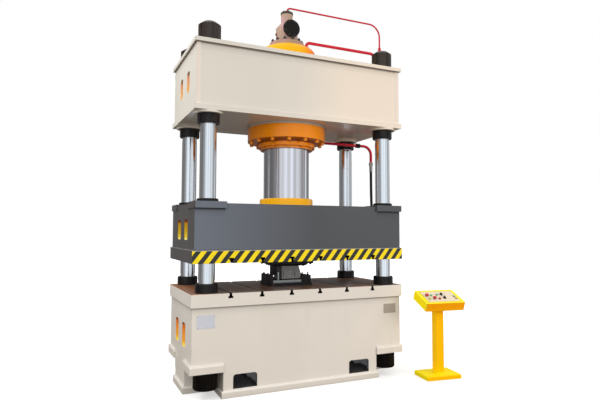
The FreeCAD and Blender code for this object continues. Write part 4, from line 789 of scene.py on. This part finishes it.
def add_cylinder_screws(painted):
    """Socket head screws of the flange and of the gland, heads down."""
    flange = Shape().screws(circle(0.826, 14, -6, 2.631, "-Z"), 0.042, 0.033, 0.020)
    piece = flange.make("flange_screws", painted)
    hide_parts("cylinder_bolts")
    gland = Shape().screws(circle(0.630, 12, 10, 2.562, "-Z"), 0.018, 0.014)
    gland.make("gland_screws", painted)


def add_ring_screws(steel):
    """Screws sunk flush in the ring that holds the ram."""
    head, height = 0.026, 0.016
    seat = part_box("ram_ring")[1].z - height
    shape = Shape().screws(circle(0.560, 12, 15, seat), head, height, 0)
    piece = shape.make("ring_screws", steel, "slide")
    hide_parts("ram_ring_bolts")


VALVE_STUD_RISE = 0.044   # from the flange to the top of a stud


def add_valve_hardware(steel, black, brass):
    cap_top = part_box("valve_top_cover")[1].z
    stud_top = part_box("valve_bolts")[1].z
    seat = stud_top - VALVE_STUD_RISE
    studs = Shape()
    for x, y in round_places(0.350, 12):
        studs.nut(at(x, y, seat), 0.033, 0.030)
        studs.thread(0.010, 0.0010, 0.0025, seat - 0.003, stud_top, at(x, y, 0))
    piece = studs.make("valve_studs", steel)
    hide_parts("valve_bolts")
    port = [at(x, -0.152, 3.944 + z, "-Y") for x, z in round_places(0.164, 8, 22.5)]
    Shape().screws(port, 0.016, 0.010).make("port_cover_screws", black)
    cap = Shape().screws(circle(0.118, 6, 30, cap_top), 0.014, 0.009)
    cap.make("valve_cap_screws", black)
    plug = Shape()
    plug.nut(at(-0.1275, 0, 3.90, "-X"), 0.024, 0.014)
    plug.nut(at(0, 0.1275, 3.93, "+Y"), 0.030, 0.016)
    plug.make("valve_plugs", brass)


def add_poppet_spring(steel):
    """The spring as a coil that stands on the valve's bridge."""
    wire, turns, steps, facets, stroke = 0.007, 5, 24, 12, 0.025
    low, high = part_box("poppet_spring")
    radius = (high.x - low.x - wire) / 2
    rise = (high.z - low.z - wire) / turns
    coil = Shape()
    rings = []
    for step in range(turns * steps + 1):
        turn = step / steps
        outward = Vector((*polar(1, 2 * pi * turn), 0))
        along = Vector((-2 * pi * radius * outward.y, 2 * pi * radius * outward.x, rise))
        sideways = along.normalized().cross(outward)
        center = radius * outward + Vector((0, 0, low.z + wire / 2 + rise * turn))
        points = []
        for facet in range(facets):
            out, side = polar(1, 2 * pi * facet / facets)
            points.append(center + wire / 2 * (out * outward + side * sideways))
        rings.append(coil.ring(points))
    coil.skin(rings)
    piece = coil.make("poppet_spring_coil", steel)
    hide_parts("poppet_spring")
    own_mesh(piece)


def add_pipe_nuts(painted, zinc):
    nuts = Shape()
    nuts.nut(at(0, 0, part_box("valve_top_cover")[1].z), 0.032, 0.022, False)
    nuts.nut(at(0.250, 0, 3.790), 0.052, 0.024, False)
    nuts.nut(at(0.470, 0.187, 2.706, "+X"), 0.050, 0.030, False)
    nuts.make("pipe_nuts", painted)
    ends = Shape()
    ends.nut(at(1.235, 0, 3.300), 0.055, 0.030)
    ends.nut(at(1.289, 0, 3.300), 0.032, 0.024)
    ends.make("pipe_block_nuts", zinc)
    block = Shape().screws(grid([1.342], (-0.040, 0.040), (3.205, 3.275), "+X"), 0.018, 0.012)
    block.make("pipe_block_screws", zinc)


HOSE_ROUTE = [(1.269, 0.187, 2.381), (1.269, 0.187, 2.111), (1.276, 0.176, 1.746),
              (1.312, 0.130, 1.396), (1.340, 0.060, 1.046), (1.340, 0.060, 0.796)]
HOSE_DIAMETER = 0.034


def add_hose(black):
    """The return hose, which hangs from its sleeve and goes back into the bed's outlet."""
    data = bpy.data.curves.new("hose", "CURVE")
    data.dimensions = "3D"
    data.bevel_depth = HOSE_DIAMETER / 2
    data.bevel_resolution = 5
    data.resolution_u = 16
    spline = data.splines.new("NURBS")
    spline.points.add(len(HOSE_ROUTE) - 1)
    for point, place in zip(spline.points, HOSE_ROUTE):
        point.co = (*place, 1)
    spline.order_u = 3
    spline.use_endpoint_u = True
    data.materials.append(black.material)
    hose = add_object("hose", data)
    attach(hose, "press")
    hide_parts("return_hose")


def add_hose_fittings(zinc):
    """The crimped sleeve and its hexagon, in place of the plain solid; screws on the outlet."""
    sleeve = Shape()
    profile = [(0.017, 0.0), (0.0205, 0.001)]
    for groove in range(5):
        low = 0.004 + groove * 0.011
        profile += [(0.021, low), (0.021, low + 0.005), (0.0196, low + 0.007),
                    (0.0196, low + 0.009)]
    profile += [(0.021, 0.060), (0.021, 0.069), (0.0215, 0.070, 6), (0.0215, 0.092, 6),
                (0.0225, 0.093), (0.0235, 0.097, 6), (0.0235, 0.116, 6), (0.0215, 0.118)]
    sleeve.turned(profile, at(*HOSE_ROUTE[0]), 36)
    piece = sleeve.make("hose_sleeve", zinc)
    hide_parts("hose_ferrule")
    outlet = Shape().screws(grid([1.380], (0.032, 0.088), [0.655], "+X"), 0.013, 0.009)
    outlet.nut(at(1.340, 0.060, 0.700), 0.054, 0.028, False)
    outlet.make("hose_outlet_nut", zinc)


def add_welds(cream, shaded, grey, yellow):
    low, high = CROWN_INSIDE
    crown = Shape()
    crown.weld_round(*CROWN_WALLS, low, 0.008)
    crown.make("crown_welds", cream)
    cap = Shape()
    cap.weld_round(*CROWN_WALLS, high, 0.007, -1)
    cap.make("crown_cap_welds", shaded)
    bed = Shape()
    half_x, half_y = BED_WALLS
    foot, corner_plate = 0.070, 0.335
    notch_x, notch_y = 0.874, 0.225
    for sign in (-1, 1):
        y = sign * half_y
        bed.weld((-notch_x, y, foot), (notch_x, y, foot), (0, sign, 0), 0.008)
        x = sign * half_x
        bed.weld((x, -notch_y, foot), (x, notch_y, foot), (sign, 0, 0), 0.008)
        for side in (-1, 1):
            inner = (side * notch_x, y, corner_plate)
            outer = (side * half_x, y, corner_plate)
            bed.weld(inner, outer, (0, sign, 0), 0.006)
            inner = (side * half_x, sign * notch_y, corner_plate)
            bed.weld(inner, outer, (side, 0, 0), 0.006)
    bed.make("bed_welds", cream)
    slide = Shape()
    slide.weld_round(*SLIDE_WALLS, SLIDE_INSIDE[0], 0.007)
    slide.make("slide_welds", grey, "slide")
    stand = Shape()
    turned = Matrix.Translation(STAND_PLACE) @ Matrix.Rotation(STAND_TURN, 4, "Z")
    post, foot_top = 0.045, 0.050
    corners = [Vector((x * post, y * post, foot_top)) for x, y in CORNERS]
    for start, end in zip(corners, corners[1:] + corners[:1]):
        outward = turned.to_3x3() @ (end - start).cross((0, 0, 1)).normalized()
        stand.weld(turned @ start, turned @ end, outward, 0.005)
    stand.make("stand_weld", yellow)


def add_seams(cream):
    """The dressed joints where the end plates' edges meet the front and back plates."""
    shape = Shape()
    bottom, length, rows = 2.861, 0.600, 155
    for x, sign in product((-1.1460, 1.1460), (-1, 1)):
        rings = []
        for row in range(rows + 1):
            wave = 0.0002 * sin(row * 1.7) + 0.0003
            across = [(-0.0040, -0.0005), (-0.0028, 0.0006 + wave), (0, 0.0010 + wave),
                      (0.0028, 0.0006 + wave), (0.0040, -0.0005)]
            rings.append(shape.ring([(x + dx, sign * (CROWN_WALLS[1] + out),
                                      bottom + length * row / rows) for dx, out in across]))
        shape.skin(rings)
    shape.make("crown_seams", cream)


def add_plates(rivet):
    """The two small plates of the bed's front, left bare, each held by four rivets."""
    face = -BED_WALLS[1]
    margin = 0.009
    pale = plate_finish("plate_pale", srgb(214, 216, 226), srgb(150, 152, 164))
    dull = plate_finish("plate_dull", srgb(176, 164, 152), srgb(120, 108, 96))
    for name, finish, left, right, low, high in (
            ("bed_plate_left", pale, -1.141, -0.964, 0.678, 0.805),
            ("bed_plate_right", dull, 0.973, 1.132, 0.695, 0.798)):
        sheet = Shape()
        sheet.slab(right - left, high - low, -0.0004, 0.0016, 0.006, 0.0006,
                   at((left + right) / 2, face, (low + high) / 2, "-Y"))
        sheet.make(name, finish)
        rivets = Shape()
        for place in grid((left + margin, right - margin), [face], (low + margin, high - margin),
                          "-Y"):
            rivets.turned([(0.0036, 0.0012), (0.0034, 0.0022), (0.0026, 0.0030),
                           (0.0010, 0.0034)], place, 16)
        rivets.make(name + "_rivets", rivet)


def add_panel_hardware(steel):
    """Bezels round the controls, blank label strips, two pilot lamps and the panel's screws."""
    slope = panel_matrix()

    def on_panel(u, v):
        """The place of a point that is given in millimetres on the panel."""
        return slope @ Matrix.Translation((u / 1000, v / 1000, PANEL_TOP))

    bezels, labels = Shape(), Shape()
    for places, radius, height, bore, rise in (
            (((-156, 13), (-93, -50)), 0.0165, 0.0054, 0.55, 31),
            (((-99, 18), (-156, -54), (-21, 28), (-35, -60)), 0.0148, 0.0026, 0.55, 25),
            (((34, 30), (35, -44)), 0.0195, 0.0012, 0.90, 28)):
        inner = radius * bore
        for u, v in places:
            bezels.turned([(radius, -0.0005), (radius, height * 0.6), (radius * 0.90, height),
                           (inner, height), (inner, -0.0004)], on_panel(u, v), 32)
            labels.slab(0.030, 0.008, -0.0002, 0.0007, 0.001, 0.0002, on_panel(u, v + rise), 2)
    bezels.make("control_bezels", metal("bezel_ring", srgb(206, 196, 178), 0.3, edge=0.0008))
    labels.make("label_strips", moulding("label_pale", srgb(232, 228, 214)))
    black = moulding("bezel_black", srgb(30, 30, 32))
    for name, tint, v in (("green", srgb(176, 206, 150), -14), ("amber", srgb(250, 196, 70), -60)):
        place = on_panel(172, v)
        base = Shape()
        base.turned([(0.0150, -0.0005), (0.0150, 0.003), (0.0135, 0.0045), (0.0115, 0.0045)],
                    place, 32)
        base.make("lamp_" + name + "_bezel", black)
        lens = Shape()
        lens.turned([(0.0115, 0.002), (0.0115, 0.008), (0.0100, 0.011), (0.0065, 0.0130),
                     (0.0020, 0.0138)], place, 32)
        lens.make("lamp_" + name, lamp_lens("lens_" + name, tint))
    screws = Shape()
    for u, v in product((-189, 0, 189), (-114, 104)):
        screws.turned([(0.0040, -0.0003), (0.0040, 0.0008), (0.0032, 0.0020), (0.0018, 0.0024),
                       (0.0014, 0.0012, 6)], on_panel(u, v))
    screws.make("panel_screws", steel)


def add_tool_hardware(black, steel):
    """Screws of the press tool, its locator, and its studs with their nuts."""
    base_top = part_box("tool_base")[1].z
    stud_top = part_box("tool_studs")[1].z
    left_top, right_top = 1.133, 1.117
    lower = Shape()
    for x, top in ((-0.230, left_top), (0.190, right_top)):
        lower.screws(grid([x], (-0.030, 0.100), [top]), 0.020, 0.013)
    lower.screws(grid((-0.225, 0.225), (-0.163, 0.163), [base_top]), 0.014, 0.010)
    lower.screws(grid((-0.230, 0.160, 0.220), [-0.150], (1.062, 1.096), "-Y"), 0.014, 0.008)
    lower.make("lower_tool_screws", black)
    die_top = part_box("die_plate")[1].z
    thick = 0.030
    locator = Shape()
    locator.slab(0.046, 0.160, -0.0005, thick, 0.003, 0.002, at(-0.189, -0.020, die_top))
    locator.screws(grid([-0.193], (-0.070, 0.030), [die_top + thick]), 0.013, 0.003)
    locator.make("die_locator", black)
    studs = Shape()
    for x, foot in ((-0.230, left_top), (0.154, right_top), (0.225, right_top)):
        studs.thread(0.0084, 0.0008, 0.002, foot - 0.002, stud_top, at(x, -0.110, 0), 20)
        studs.nut(at(x, -0.110, foot), 0.022, 0.011, False)
    studs.make("tool_stud_nuts", black)
    upper = Shape().screws(grid((-0.238, 0.238), (-0.150, 0, 0.150), [1.250], "-Z"), 0.022, 0.014)
    upper.screws(grid((-0.165, 0.165), (-0.110, 0.110), [1.225], "-Z"), 0.014, 0.009)
    upper.make("upper_tool_screws", black, "slide")
    plugs = Shape()
    for x, z in ((0.006, 1.110), (0.006, 1.160), (0.112, 1.106)):
        plugs.turned([(0.012, -0.001), (0.012, 0.001), (0.0105, 0.002), (0.0075, 0.002, 6),
                      (0.0070, 0.0008, 6)], at(x, -0.120, z, "-Y"))
    plugs.make("punch_plugs", steel, "slide")


# --- materials on everything

def dress():
    pipe = enamel("pipe_enamel", PIPE_RED, 0.10, 0.42, edge=0.001, coat=0.4, specular=0.25)
    black = enamel("black_enamel", BLACK, 0.10, 0.55, coat=0.0, specular=0.2)
    tool_black = blackened("tool_black", srgb(24, 22, 22), 0.5, 0.35)
    bolt = blackened("bolt_steel", srgb(44, 40, 37), 0.38, 0.5)
    zinc = metal("zinc_steel", srgb(186, 182, 172), 0.36)
    plain = metal("plain_steel", srgb(150, 150, 150), 0.4)
    bright = metal("bright_steel", srgb(168, 167, 164), 0.3, (1, 12, 12))
    hose_black = rubber("hose_rubber")

    assign(bed_finish(), "bed_frame")
    assign(crown_finish(), "crown")
    assign(slide_finish(), "slide_frame")
    assign(table_finish(), "bolster_plate")
    assign(face_plate_finish(), "slide_face_plate")
    assign(cylinder_finish(), "main_cylinder", "gland", "cylinder_bolts")
    assign(enamel("ring_enamel", SIGNAL_YELLOW, 0.06, 0.3, grime=srgb(150, 80, 10), coat=0.5,
                  specular=0.2), "ram_ring")
    assign(pipe, "pilot_pipe", "pressure_pipe", "return_pipe", "pilot_union")
    assign(valve_finish(), "prefill_valve_body")
    assign(black, "valve_port_cover", "return_union")
    assign(enamel("cap_enamel", srgb(62, 60, 50), 0.2, 0.5, specular=0.3), "valve_top_cover")
    assign(chrome("column_chrome", 0.12, srgb(244, 246, 248), srgb(254, 254, 255), 0.10),
           "column_front_left", "column_front_right", "column_rear_left", "column_rear_right")
    assign(chrome("ram_chrome", 0.03, srgb(232, 227, 229), srgb(248, 242, 243), 0.20), "ram")
    assign(blackened("nut_oxide", srgb(44, 34, 27)), "crown_nuts")
    assign(blackened("collar_oxide", srgb(20, 19, 20), specular=0.3), "crown_collars",
           "table_collars")
    assign(blackened("foot_oxide", srgb(9, 7, 5), 0.5, 0.1, 0.06), "foot_nuts")
    assign(tool_black, "tool_base", "tool_top_plate", "tool_adapter", "side_block", "tool_stops")
    assign(bolt, "valve_bolts", "ram_ring_bolts", "tool_studs")
    assign(bright, "die_plate", "guide_pin")
    block = metal("cast_block", srgb(146, 144, 142), 0.5, variation=0.3)
    block.set("Metallic", 0.4)
    assign(block, "punch_block")
    assign(zinc, "hose_ferrule", "hose_outlet", "pipe_block")
    assign(metal("bronze", srgb(176, 128, 70), 0.35), "guide_bushes")
    assign(plain, "poppet", "poppet_spring")
    assign(rubber("seal_rubber"), "wiper_rings", "gland_seals", "piston_seals")
    assign(hose_black, "return_hose")
    assign(stand_finish(), "stand_pedestal", "stand_box")
    assign(panel_finish(), "stand_panel")
    assign(moulding("stop_red", srgb(205, 20, 26)), "stop_button_left", "stop_button_right",
           "push_button_lower_middle")
    assign(moulding("button_green", srgb(130, 205, 160)), "push_button_upper_left",
           "push_button_upper_middle")
    assign(moulding("button_yellow", srgb(205, 222, 50)), "push_button_lower_left")
    assign(moulding("knob_black", srgb(28, 26, 24)), "selector_upper", "selector_lower")

    add_cylinder_screws(enamel("screw_orange", SIGNAL_ORANGE, 0.2, 0.3, edge=0.001, wear=0.2))
    add_ring_screws(bolt)
    add_valve_hardware(bolt, black, metal("brass", srgb(190, 150, 84), 0.32))
    add_poppet_spring(plain)
    add_pipe_nuts(pipe, zinc)
    add_hose(hose_black)
    add_hose_fittings(zinc)
    welds = [enamel(name, color, 0.2, 0.36, edge=0.001) for name, color in (
        ("weld_cream", CREAM), ("weld_shaded", srgb(128, 116, 102)), ("weld_grey", SLIDE_GREY),
        ("weld_yellow", STAND_YELLOW))]
    add_welds(*welds)
    add_seams(welds[0])
    add_plates(plain)
    add_panel_hardware(plain)
    add_tool_hardware(tool_black, bright)


# --- studio

# What bright metal mirrors, once round the hall: share of the turn and level of light. 0.5 is
# behind the camera, 0 is the right edge of an upright cylinder and 1 its left edge.
HALL = [(0.000, 0.12), (0.043, 0.12), (0.106, 0.11), (0.144, 0.42), (0.175, 0.95), (0.202, 0.33),
        (0.225, 0.30), (0.267, 0.42), (0.304, 0.70), (0.339, 0.84), (0.372, 0.58), (0.418, 1.05),
        (0.448, 0.76), (0.463, 0.76), (0.500, 1.00), (0.552, 0.70), (0.566, 0.80), (0.582, 0.64),
        (0.612, 0.20), (0.628, 0.36), (0.644, 0.31), (0.695, 0.15), (0.753, 0.165), (0.798, 0.22),
        (0.856, 0.10), (0.894, 0.26), (0.940, 0.12), (1.000, 0.12)]


def hall_color(level):
    """Daylight: bright parts of the hall are a little blue, dark ones are not."""
    tint = 0.09 * min(level, 1.0)
    return (level * (1 - tint), level, level * (1 + tint))


def add_world():
    """Soft hall light, brighter from above; plain white where the camera sees past the floor."""
    world = bpy.data.worlds.new("studio")
    bpy.context.scene.world = world
    world.use_nodes = True
    tree = Tree(world)
    background = tree.nodes["Background"]
    rays = tree.add("LightPath")
    across, along, upward = tree.split(tree.add("TexCoord").outputs["Generated"])
    turned = tree.minus(tree.math("ARCTAN2", across, along), radians(180 + CAMERA_TURN))
    share = tree.math("FRACT", tree.plus(tree.over(turned, 2 * pi), 2.5))
    hall = tree.ramp(share, [(place, hall_color(level)) for place, level in HALL])
    hall = tree.mix(tree.slope(upward, 0.35, 0.75), hall, (0.85, 0.86, 0.88, 1))
    soft = tree.ramp(upward, [(0.0, 0.50), (0.35, 0.66), (1.0, 1.0)])
    soft = tree.mix(tree.slope(upward, 0.45, 1.0), soft, (1.32, 1.30, 1.26, 1))
    light = tree.mix(rays.outputs["Is Glossy Ray"], soft, hall)
    seen = tree.mix(rays.outputs["Is Camera Ray"], light, WHITE)
    seen = tree.mix(rays.outputs["Is Transmission Ray"], seen, WHITE)
    tree.feed(background.inputs["Color"], seen)


def add_area(name, place, aim, size, power, color):
    data = bpy.data.lights.new(name, "AREA")
    data.shape = "RECTANGLE"
    data.size, data.size_y = size
    data.energy = power
    data.color = color
    lamp = add_object(name, data)
    lamp.location = place
    heading = Vector(aim) - Vector(place)
    lamp.rotation_euler = heading.to_track_quat("-Z", "Y").to_euler()
    lamp.visible_glossy = False
    lamp.visible_camera = False


def add_floor():
    """A pale floor that keeps the object's shadow and runs out into the white behind it."""
    mesh = bpy.data.meshes.new("floor")
    mesh.from_pydata([(x * 40, y * 40, 0) for x, y in CORNERS], [], [(0, 1, 2, 3)])
    floor = add_object("floor", mesh)
    finish = Finish("floor_pale", roughness=0.9, specular=0.1)
    tree = finish.tree
    rays = tree.add("LightPath")
    seen = rays.outputs["Is Camera Ray"]
    grain = finish.noise(3, 4)
    pale = tree.mix(grain, (0.60, 0.60, 0.60, 1), (0.62, 0.62, 0.62, 1))
    finish.color(tree.mix(seen, (0.20, 0.165, 0.135, 1), pale))
    far = tree.add("VectorMath", {0: finish.place}, operation="LENGTH").outputs["Value"]
    white = tree.plus(tree.times(tree.slope(far, 3.0, 9.0), 0.40), 0.50)
    finish.emit(WHITE, tree.times(seen, white))
    finish.bump(grain, 0.02, 0.001)
    away = tree.times(rays.outputs["Is Glossy Ray"], tree.slope(far, 2.2, 3.6))
    clear = tree.add("MixShader", {0: away, 1: finish.shader.outputs[0],
                                   2: tree.add("BsdfTransparent").outputs[0]})
    tree.feed(tree.nodes["Material Output"].inputs[0], clear.outputs[0])
    mesh.materials.append(finish.material)


def add_studio():
    add_world()
    add_area("key", (-6.5, -10.5, 3.6), (0, 0, 1.9), (5, 4), 335, (0.985, 1.0, 1.01))
    add_area("warm", (6.5, -9.5, 3.8), (0, 0, 1.9), (5, 4), 410, (1.07, 0.98, 0.89))
    add_area("high_left", (-4.2, 0.3, 4.3), (-1.2, 0, 3.2), (2.5, 1.2), 98, (1.02, 0.99, 0.95))
    add_floor()


add_camera()
dress()
add_studio()

bpy.context.scene.view_settings.view_transform = "Standard"
